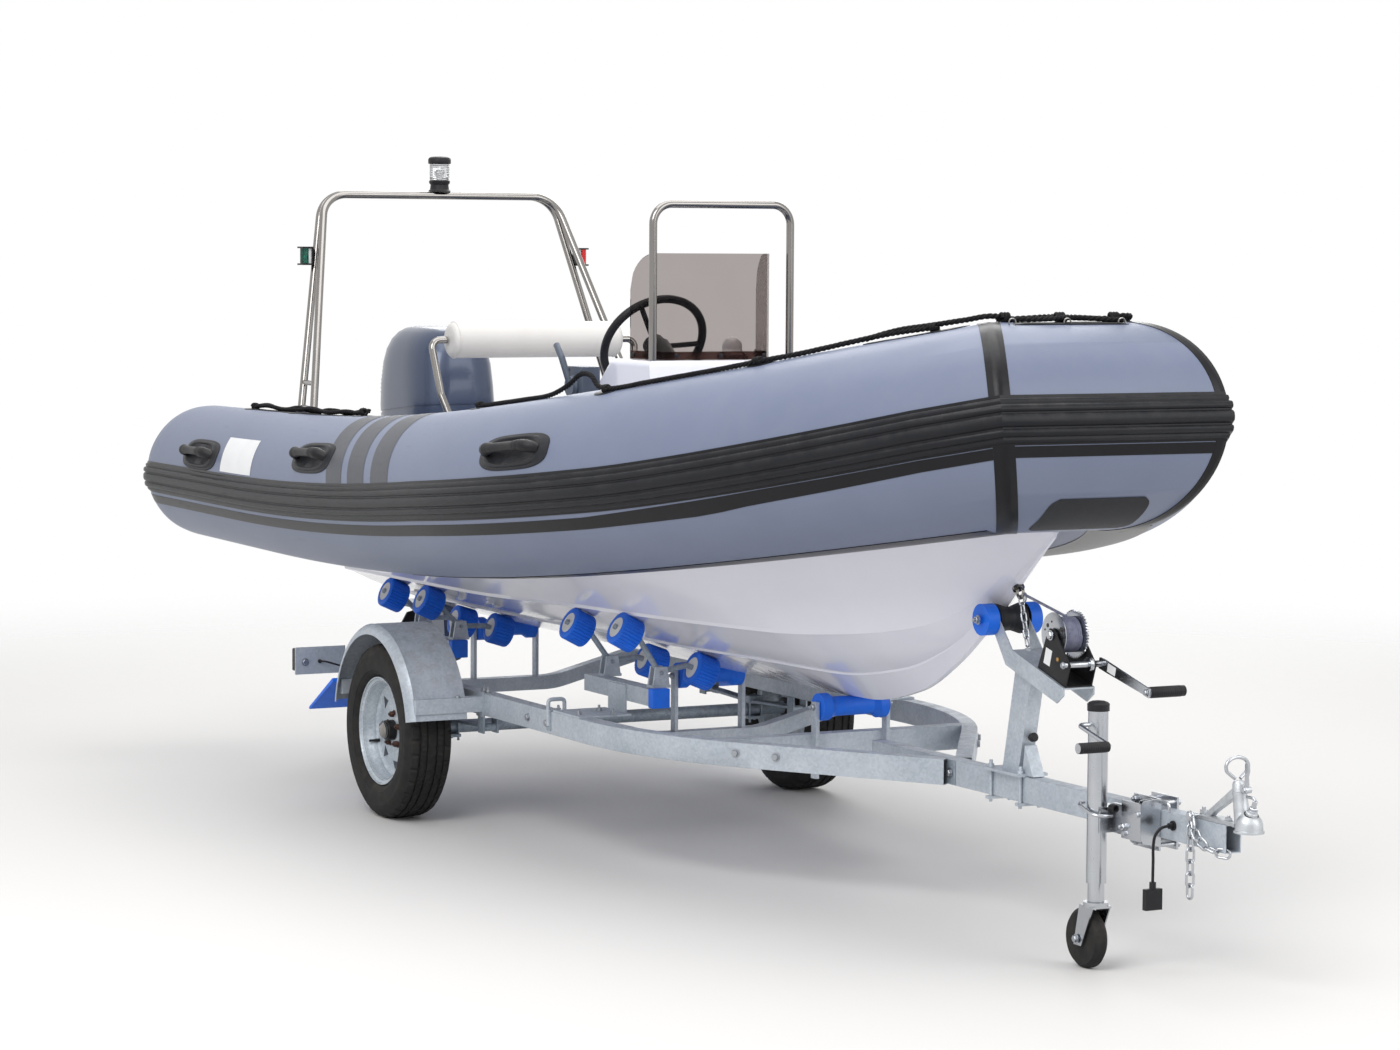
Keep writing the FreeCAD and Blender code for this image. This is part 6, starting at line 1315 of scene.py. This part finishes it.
# frame bolts on the starboard side: spot and facing; then the studs' spots
frameBolts = ((843, -424.6, 416, 0.538, -0.843, 0), (959, -350.6, 414, 0.538, -0.843, 0), (-236, -610.2, 409, 0, -1, 0),
              (-92, -610.2, 407, 0, -1, 0), (-920, -610.2, 410, 0, -1, 0), (-1420, -610.2, 410, 0, -1, 0),
              (1428, -30.4, 409, 0, -1, 0), (-1694, -808, 447, 1, 0, 0), (-1240, -560, 448.2, 0, 0, 1))
studRows = ((39, -489, 455), (92, -585, 448.4), (146, -492, 455), (-60, -585, 448.4))


def makeGuards():
    bars, bolts, rows = [], [], []
    for angle in np.radians(np.linspace(guardSet["start"], guardSet["end"], guardSet["steps"] + 1)):
        rows.append([at(reach * math.cos(angle), -y, guardSet["height"] + reach * math.sin(angle))
                     for y, reach in guardRows])
    for x in guardSet["bars"]:
        bars += [boxOf((x, -853, 386), (x + 45, -610.2, 436)), boxOf((x - 6, -613.5, 368), (x + 51, -610.4, 452))]
        for end in (6, 39):
            bolts += [nutAndStud(at(x + end, -590, 449), (0, 0, 1), 15, 8, 9),
                      hexHead(at(x + end, -700, 436.2), (0, 0, 1), 14, 6)]
    addPiece("rolled_guards", [loft(rows)], "galvanised", sharp=40, replaces="mudguards", both=True)
    addPiece("guard_bars", bars, "galvanised", both=True, bevel=3)
    addPiece("guard_bolts", bolts, "boltZinc", both=True)


def makeFrameFittings():
    bolts = [hexHead(row(x, y, z), way, 19, 8) for x, y, z, *way in frameBolts]
    bolts += [nutAndStud(row(*spot), (0, 0, 1), 15, 8, 10) for spot in studRows]
    addPiece("frame_bolts", bolts, "boltZinc", both=True)
    plates = [boxOf((2336, -28.4, 375), (2386, -25.2, 446)), boxOf((844, -613, 384), (874, -610.2, 452))]
    addPiece("frame_plates", plates, "galvanisedDull", both=True, bevel=1)
    loop = roundedPath([row(-76, y, z) for y, z in ((-613, 400), (-613, 484), (-556, 484), (-556, 444))], 14)
    addPiece("tie_loops", [swept(loop, 6.5, 10)], "galvanised", both=True)
    caps = [boxOf((end - 32, -430.5, 487), (end + 1.5, -369.5, 548.5)) for end in (1235, -325)]
    addPiece("beam_caps", caps, "blueRubber", both=True, bevel=3)
    gusset = slab([row(x, -20, z) for x, z in ((1800, 450), (1858, 450), (1812, 536))], 40, (0, 1, 0))
    addPiece("post_gusset", [gusset], "galvanised", bevel=1.5)
    knob = turned([(0, 9), (8, 9), (9, 13), (20, 13), (23, 10)], row(1812, 0, 556), (0.93, 0, 0.2), 24)
    addPiece("post_knob", [knob], "blackPlastic")


# rear lamps: outer and inner end of each lens
lampSet = {"back": -822.0, "low": 418.0, "high": 486.0, "red": ((-828, -752), (-700, -678)), "amber": ((-748, -704),)}


def makeRearLamps():
    paintFaces("tail_lamps", "blackPlastic", lambda spot: spot.x > -1.752)
    back, low, high = lampSet["back"], lampSet["low"], lampSet["high"]
    for lamp in ("red", "amber"):
        lenses = [boxOf((back - 5, outer, low), (back + 1, inner, high)) for outer, inner in lampSet[lamp]]
        addPiece(lamp + "_lenses", lenses, lamp + "Lens", both=True, bevel=2)
    path = smoothPath([row(*spot) for spot in ((-1693, -753, 448), (-1680, -752, 449), (-1668, -735, 447),
                                               (-1664, -700, 436), (-1664, -660, 424), (-1664, -618, 420))])
    wires = [swept(path, 3.4, 8), turned([(0, 7), (6, 7), (9, 5)], row(-1694, -753, 448), (1, 0, 0), 16)]
    addPiece("lamp_leads", wires, "blackPlastic", both=True)


# hand winch: millimetres from the middle of the outfit
winchSet = {"drum": (1980.5, 864.0), "crank": (2057.5, 788.0), "grip": (2278.5, 731.0), "gear": 66.0, "teeth": 44,
            "rope": 3.2, "layers": (41.5, 47.0)}


def makeWinch():
    (x, z), (crankX, crankZ), (gripX, gripZ) = (winchSet[key] for key in ("drum", "crank", "grip"))
    port, starboard = (0, 1, 0), (0, -1, 0)
    centre, east, up = row(x, 0, z), Vector((1, 0, 0)), Vector((0, 0, 1))
    loop = circle(winchSet["teeth"] * 4)
    spool = [turned([(-36, 12), (-36, 61), (-37, 62.6), (-35.4, 63), (-34, 61.4), (-33.6, 58), (-33.6, 20)], centre,
                    port, 56, ends=False),
             turned([(-33, 38), (29, 38)], centre, port, 40), turned([(-51, 11), (51, 11)], centre, port, 20),
             hexHead(row(x, -47, z), starboard, 20, 7), hexHead(row(x, 46, z), port, 20, 7),
             loft([[around(row(x, y, z), east, up, winchSet["gear"] + (2 if k % 4 < 2 else -3), angle)
                    for k, angle in enumerate(loop)] for y in (29.5, 35.5)])]
    addPiece("winch_spool", spool, "zincPlate", sharp=38, replaces="winch_drum")
    turns = []
    for layer, reach in enumerate(winchSet["layers"]):
        for y in (-29.5 + 6.3 * k + 3.1 * layer for k in range(10 - layer)):
            turns.append(swept([around(row(x, y + 3.0 * (a / (2 * math.pi) - 0.5), z), east, up, reach, a)
                                for a in np.linspace(0, 2 * math.pi, 40)], winchSet["rope"], 8))
    addPiece("wound_rope", turns, "winchLine", sharp=60)
    # black discs on the drum's starboard flange where its holes are: painted shade in place of the open holes
    holeShades = [turned([(0, size), (0.5, size)], around(row(x, -36.3, z), east, up, reach, angle), starboard, 18)
             for angle, reach, size in ((2.5, 40, 6), (2.9, 47, 3), (1.9, 38, 3), (0.5, 40, 6), (4.4, 40, 6))]
    addPiece("flange_hole_shades", holeShades, "dialFace")

    def shaftFace(spot):
        near = math.hypot(spot.x - crankX / 1000, spot.z - crankZ / 1000)
        return spot.y > 0.0601 and spot.x < 2.30 or near < 0.0212 and abs(spot.y) < 0.0395 or spot.y < -0.0442
    paintFaces("winch_frame", "zincPlate", shaftFace)
    paintFaces("winch_frame", "blackPlastic", lambda spot: spot.y > 0.0765 and spot.x > 2.262)
    rings = [turned([(0, 15.0), (1.2, 15.8), (3.4, 15.8), (4.6, 15.0)], row(gripX, 84 + 7 * k, gripZ), port, 28)
             for k in range(14)]
    rings.append(turned([(0, 15.2), (4, 14.6), (6, 11), (6.5, 3)], row(gripX, 186.6, gripZ), port, 28))
    addPiece("crank_grip", rings, "blackPlastic")
    nuts = [hexHead(row(gripX, 69, gripZ), starboard, 14, 6), hexHead(row(crankX, -54, crankZ), starboard, 14, 5),
            hexHead(row(crankX, 76.4, crankZ), port, 18, 8)]
    addPiece("winch_nuts", nuts, "boltZinc")
    addPiece("winch_rivet", [turned([(0, 6.5), (2, 6), (3, 3.5)], row(2014, -44.2, 800), starboard, 20)], "copper")
    labels, way = [], Vector((0.968, 0, -0.25))
    for low, depth, wide, tall, lean in ((row(1942, -44.35, 784), 0.3, 0.032, 0.046, Vector((0.28, 0, 0.96))),
                                         (row(2086, 69.9, 769), 0.4, 0.040, 0.024, Vector((0.25, 0, 0.968)))):
        labels.append(slab([low, low + way * wide, low + way * wide + lean * tall, low + lean * tall], depth,
                           starboard))
    addPiece("winch_labels", labels, "labelWhite")
    hook = smoothPath([row(1752, 2, 946), row(1757, 4, 958), row(1768, 4, 957), row(1772, 3, 944), row(1764, 2, 936)])
    addPiece("line_hook", [swept(hook, 4.0, 10)], "zincPlate")


makeGuards()
makeFrameFittings()
makeRearLamps()
makeWinch()
paintFaces("keel_rollers", "patchRubber", lambda spot: spot.x > 1.60 and abs(spot.y) < 0.0522)
print("trailer fittings done")


# jockey wheel's fittings and the trailer's rollers' ends: millimetres from the middle of the outfit
jockeySet = {"plates": (2387.5, 2483.5), "bolts": (352, 464), "wheel": (2298.5, 81),
             "rollers": ((-149.5, 128, 530), (793.5, 128, 533), (1683, 98.4, 881))}


def makeJockey():
    port, starboard = (0, 1, 0), (0, -1, 0)
    paintFaces("jockey_tube", "blackPlastic", lambda spot: spot.z > 0.6995 or spot.x > 2.4805 and spot.y < -0.1975)
    cap = turned([(0, 30.5), (3, 30), (7, 26), (10, 18), (11.4, 8), (11.6, 1)], row(2340.5, -125, 715.8), (0, 0, 1), 36)
    addPiece("jockey_cap", [cap], "blackPlastic", "jockey_stand")
    bolts = []
    for x in jockeySet["plates"]:
        for z in jockeySet["bolts"]:
            bolts += [nutAndStud(row(x, -31.2, z), starboard, 17, 8, 7), hexHead(row(x, 31.2, z), port, 17, 9)]
    addPiece("clamp_bolts", bolts, "boltZinc")
    x, z = jockeySet["wheel"]
    axle = [hexHead(row(x, -158.6, z), starboard, 17, 8), nutAndStud(row(x, -91.4, z), port, 17, 8, 6)]
    addPiece("caster_bolt", axle, "boltZinc", "jockey_caster")
    ends = [nutAndStud(row(x, -y, z), starboard, 19, 9, 8) for x, y, z in jockeySet["rollers"]]
    addPiece("roller_ends", ends, "boltZinc", both=True)


# lights on the arch: distance of the frame's two plates and wall from the middle
lightSet = {"far": 585, "near": 541, "wall": 546, "white": (546.5, 562), "lamp": (-2308, 566, 1854)}


def sideBox(side, near, far, low, high):
    # box between two distances from the middle on one side; low and high are x and z
    near, far = sorted((side * near, side * far))
    return boxOf((low[0], near, low[1]), (high[0], far, high[1]))


def makeLights():
    frames, whites, up = [], [], (0, 0, 1)
    for side in (-1, 1):
        frames += [sideBox(side, lightSet["near"], lightSet["far"], (-1402, low), (-1349, low + 6))
                   for low in (1848, 1910)]
        frames.append(sideBox(side, lightSet["near"], lightSet["wall"], (-1402, 1853), (-1350, 1911)))
        whites.append(sideBox(side, *lightSet["white"], (-1398, 1854), (-1358, 1910)))
    addPiece("light_frames", frames, "blackPlastic", replaces="nav_lights")
    addPiece("light_backs", whites, "whitePlastic")
    x, y, z = lightSet["lamp"]
    for name, skin, side in (("starboard_lens", "greenLens", -1), ("port_lens", "redLens", 1)):
        addPiece(name, [turned([(0, 18), (56, 18)], row(x, side * y, z), up, 28)], skin)
    foot = row(-2367.5, 0, 2124.8)
    body = [turned([(0, 41), (3, 42), (9, 36), (26, 34), (32, 39), (40, 40), (42, 37)], foot, up, 40),
            turned([(104, 37), (105, 42), (108, 43), (121, 43), (127, 40), (131, 32), (133, 8)], foot, up, 40)]
    addPiece("anchor_housing", body, "blackPlastic", replaces="anchor_light")
    ribs = [(41 + 3.2 * k, 37.6 - 1.4 * (k % 2)) for k in range(21)]
    addPiece("anchor_lens", [turned(ribs, foot, up, 48)], "clearLens")
    bulb = turned([(38, 9), (60, 9), (66, 14), (80, 14), (86, 8), (88, 2)], foot, up, 24)
    addPiece("anchor_bulb", [bulb], "labelWhite")


# transom fittings: distance of the eyes and drains from the middle, and the eyes' height
transomSet = {"eyes": (-420, 420), "drains": (-330, 330), "height": 860, "face": -2085}


def makeTransomFittings():
    metal, dark, aft, x, z = [], [], (-1, 0, 0), transomSet["face"], transomSet["height"]
    for y in transomSet["eyes"]:
        loop = [row(x - far, y + side, z) for far, side in ((1, -26), (27, -26), (27, 26), (1, 26))]
        metal += [swept(roundedPath(loop, 18), 5, 10), slab(framed(row(x, y, z), row(0, 42, 0), row(0, 0, 14)), 3, aft)]
    for y in transomSet["drains"]:
        dark.append(turned([(0, 34), (3, 34), (5, 31), (5, 24), (2, 22)], row(x, y, 985), aft, 32))
    dark.append(turned([(0, 20), (4, 20), (5, 12), (12, 12), (13, 9)], row(x, 0, 640), aft, 28))
    addPiece("transom_eyes", metal, "stainless")
    addPiece("transom_drains", dark, "blackPlastic")


makeJockey()
makeLights()
makeTransomFittings()
print("small fittings done")


# ball coupling: station of its nose and ball, height of its foot; outlines from the nose and the foot's height
couplingSet = {"nose": 3721.0, "top": 448.0, "ball": 3789.0}
footRows = ((-145, -17), (-139, -24), (20, -24), (44, -30), (44, 30), (20, 24), (-139, 24), (-145, 17))
armRows = ((-122, 9), (-92, 9), (-80, 20), (26, 82), (24, 103), (12, 101))
bladeRows = ((53, 96), (62, 94), (66, 112), (64, 132), (69, 148), (66, 166), (58, 172), (52, 164), (53, 140), (51, 118))
columnRows = ((0, 24), (12, 21), (70, 19), (80, 19), (80.5, 20.2), (84, 20.2), (85, 18.4), (102, 17.4), (110, 13.5),
              (113, 6))


def makeCoupling():
    nose, top, ball = couplingSet["nose"], couplingSet["top"], couplingSet["ball"]
    port, starboard, up, boss = (0, 1, 0), (0, -1, 0), (0, 0, 1), Vector((20, 0, 46)).normalized()
    socket = [(-12, 26), (-12, 39.8), (-6, 39.8), (-4.5, 36.5), (12, 35.5), (22, 32.5), (30, 27), (36, 19), (39, 4)]
    neck = [(0, 22), (12, 20), (18, 19), (19, 16.5), (24, 16), (26, 13), (30, 12)]
    cast = [slab([at(nose + x, y, top + 0.3) for x, y in footRows], 10, up),
            turned(socket, at(ball, 0, top), up, 48),
            turned(columnRows, at(nose + 40, 0, top + 8), (-22, 0, 112), 40),
            turned(neck, at(ball + 2, 0, top + 20), boss, 32),
            slab([at(nose + x, -9.5, top + z) for x, z in armRows], 19, port)]
    cast += [turned([(-9, 9), (9, 9)], at(nose + x, 0, top + z), port, 24) for x, z in ((58, 98), (44, 102))]
    addPiece("cast_coupling", cast, "castZinc", sharp=38, replaces="coupling", bevel=2.2)
    loop = [at(nose + 12, 35 * math.sin(angle), top + 152 + 25 * math.cos(angle))
            for angle in np.radians(np.linspace(-118, 118, 25))]
    loop = [at(nose + 15, -8, top + 122)] + loop + [at(nose + 15, 8, top + 122)]
    rod = [at(ball + x, 0, top + z) for x, z in ((25, 74), (14, 80), (-12, 80))]
    bright = [swept(smoothPath(loop), 4.8, 12), slab([at(nose + x, -5, top + z) for x, z in bladeRows], 5, port),
              turned([(0, 6.5), (30, 6.5), (31, 5)], at(ball + 13, 0, top + 46), boss, 20),
              hexHead(at(ball + 14, 0, top + 48), boss, 19, 8), swept(smoothPath(rod), 4.2, 10),
              hexHead(at(nose + 58, -9.3, top + 98), starboard, 12, 5),
              nutAndStud(at(nose - 4, -13, top + 10.2), up, 17, 8, 5),
              nutAndStud(at(nose - 132, 0, top + 10.2), up, 19, 10, 8),
              turned([(0, 6), (27, 6)], at(3590, -22, 456), starboard, 20),
              hexHead(at(3590, -47, 456), starboard, 18, 3)]
    addPiece("coupling_handle", bright, "zincPlate")
    seal = turned([(0, 19.4), (2.5, 19.4)], at(ball + 2, 0, top + 20) + boss * 0.0165, boss, 28)
    addPiece("coupling_seal", [seal], "blackPlastic")


# jockey clamp: the housing's side plates as y and z, rods as their spots from the middle of the outfit
clampSet = {"plates": (2481, 2496), "grip": (2495.5, 626)}
plateRows = ((-31, 350), (-84, 360), (-91, 372), (-91, 462), (-84, 474), (-31, 480))
hookRows = ((2500, -29, 470), (2530, -30, 471), (2538, -30, 462), (2536, -30, 452))
rodRows = ((2300, -140, 449), (2306, -158, 446), (2336, -161, 437), (2372, -158, 427), (2388, -140, 424),
           (2392, -110, 424))


def makeClampParts():
    starboard, (x, z) = (0, -1, 0), clampSet["grip"]
    metal = [slab([row(plate, *spot) for spot in plateRows], 3, (1, 0, 0)) for plate in clampSet["plates"]]
    metal += [boxOf((3344, -93, 366), (3433, -90, 468)), nutAndStud(row(2424, -93, 398), starboard, 17, 9, 8),
              hexHead(row(2424, -93, 380), starboard, 13, 6), hexHead(row(2486, -93, 438), starboard, 13, 6),
              swept(smoothPath([row(*spot) for spot in hookRows]), 4.5, 10)]
    addPiece("clamp_fittings", metal, "zincPlate")
    moving = [swept(smoothPath([row(*spot) for spot in rodRows]), 4.5, 10),
              turned([(0, 13.2), (2, 13.6), (4, 13.2)], row(x, -286.6, z), starboard, 28)]
    addPiece("clamp_rod", moving, "zincPlate", "jockey_stand")
    coil = [row(2380 + 26 * k / 60, -108 + 9 * math.sin(k * 0.9), 444 + 9 * math.cos(k * 0.9)) for k in range(61)]
    addPiece("clamp_spring", [swept(coil, 1.8, 8)], "blackPlastic", "jockey_stand")
    ribs = [turned([(0, 14.0), (1.4, 14.8), (3.6, 14.8), (5, 14.0)], row(x, -203 - 7 * k, z), starboard, 28)
            for k in range(12)]
    addPiece("jockey_grip_ribs", ribs, "blackPlastic", "jockey_stand")


makeCoupling()
makeClampParts()
print("coupling done")


# stage: lamps by spot, aim, size and watts
stageSet = {"floor": tint(222, 220, 217), "world": tint(238, 240, 244), "light": 0.62, "fadeFrom": 3.6, "fadeTo": 9.0}
lampRows = {"key": ((4.5, -6.0, 6.5), (0.3, 0, 1.0), 5.0, 420.0), "fill": ((8.0, 3.5, 4.5), (0.5, 0, 0.8), 5.0, 190.0),
            "back": ((-7.0, 4.0, 5.5), (0, 0, 1.0), 5.0, 230.0), "top": ((0.0, 0.0, 7.0), (0, 0, 0.5), 6.0, 260.0)}


def makeFloor():
    # pale floor that fades into the white room away from the outfit
    material, tree, shader = newFinish("floorFinish", 0.7, Base_Color=stageSet["floor"])
    away = put(tree, "VectorMath", {0: here(tree)}, operation="LENGTH")["Value"]
    fade = put(tree, "MapRange", {"Value": away, 1: stageSet["fadeFrom"], 2: stageSet["fadeTo"], 3: 1.0, 4: 0.0},
               interpolation_type="SMOOTHSTEP")[0]
    tree.links.new(fade, shader["Alpha"])
    floor = bpy.data.meshes.new("floor")
    floor.from_pydata([(-60, -60, 0), (60, -60, 0), (60, 60, 0), (-60, 60, 0)], [], [(0, 1, 2, 3)])
    floor.materials.append(material)
    newObject("floor", floor)


def makeWorld():
    # even light, and plain white where the camera, glass or a mirror looks past the outfit
    world = bpy.data.worlds.new("studio")
    scene.world = world
    world.use_nodes = True
    tree = world.node_tree
    back = tree.nodes["Background"]
    back.inputs["Color"].default_value = stageSet["world"]
    back.inputs["Strength"].default_value = stageSet["light"]
    seen = put(tree, "Background", {"Color": white, "Strength": 1.0})[0]
    ray = put(tree, "LightPath", {})
    through = maths(tree, "MAXIMUM", ray["Is Camera Ray"], ray["Is Transmission Ray"])
    clear = maths(tree, "MAXIMUM", through, ray["Is Glossy Ray"])
    mix = put(tree, "MixShader", {0: clear, 1: back.outputs[0], 2: seen})[0]
    tree.links.new(mix, tree.nodes["World Output"].inputs["Surface"])


def makeLamps():
    for name, (spot, aim, size, watts) in lampRows.items():
        data = bpy.data.lights.new(name, "AREA")
        data.size = size
        data.energy = watts
        lamp = newObject(name, data)
        lamp.location = spot
        lamp.rotation_euler = (Vector(aim) - Vector(spot)).to_track_quat("-Z", "Y").to_euler()


makeFloor()
makeWorld()
makeLamps()
scene.view_settings.view_transform = "Standard"
print("stage set")
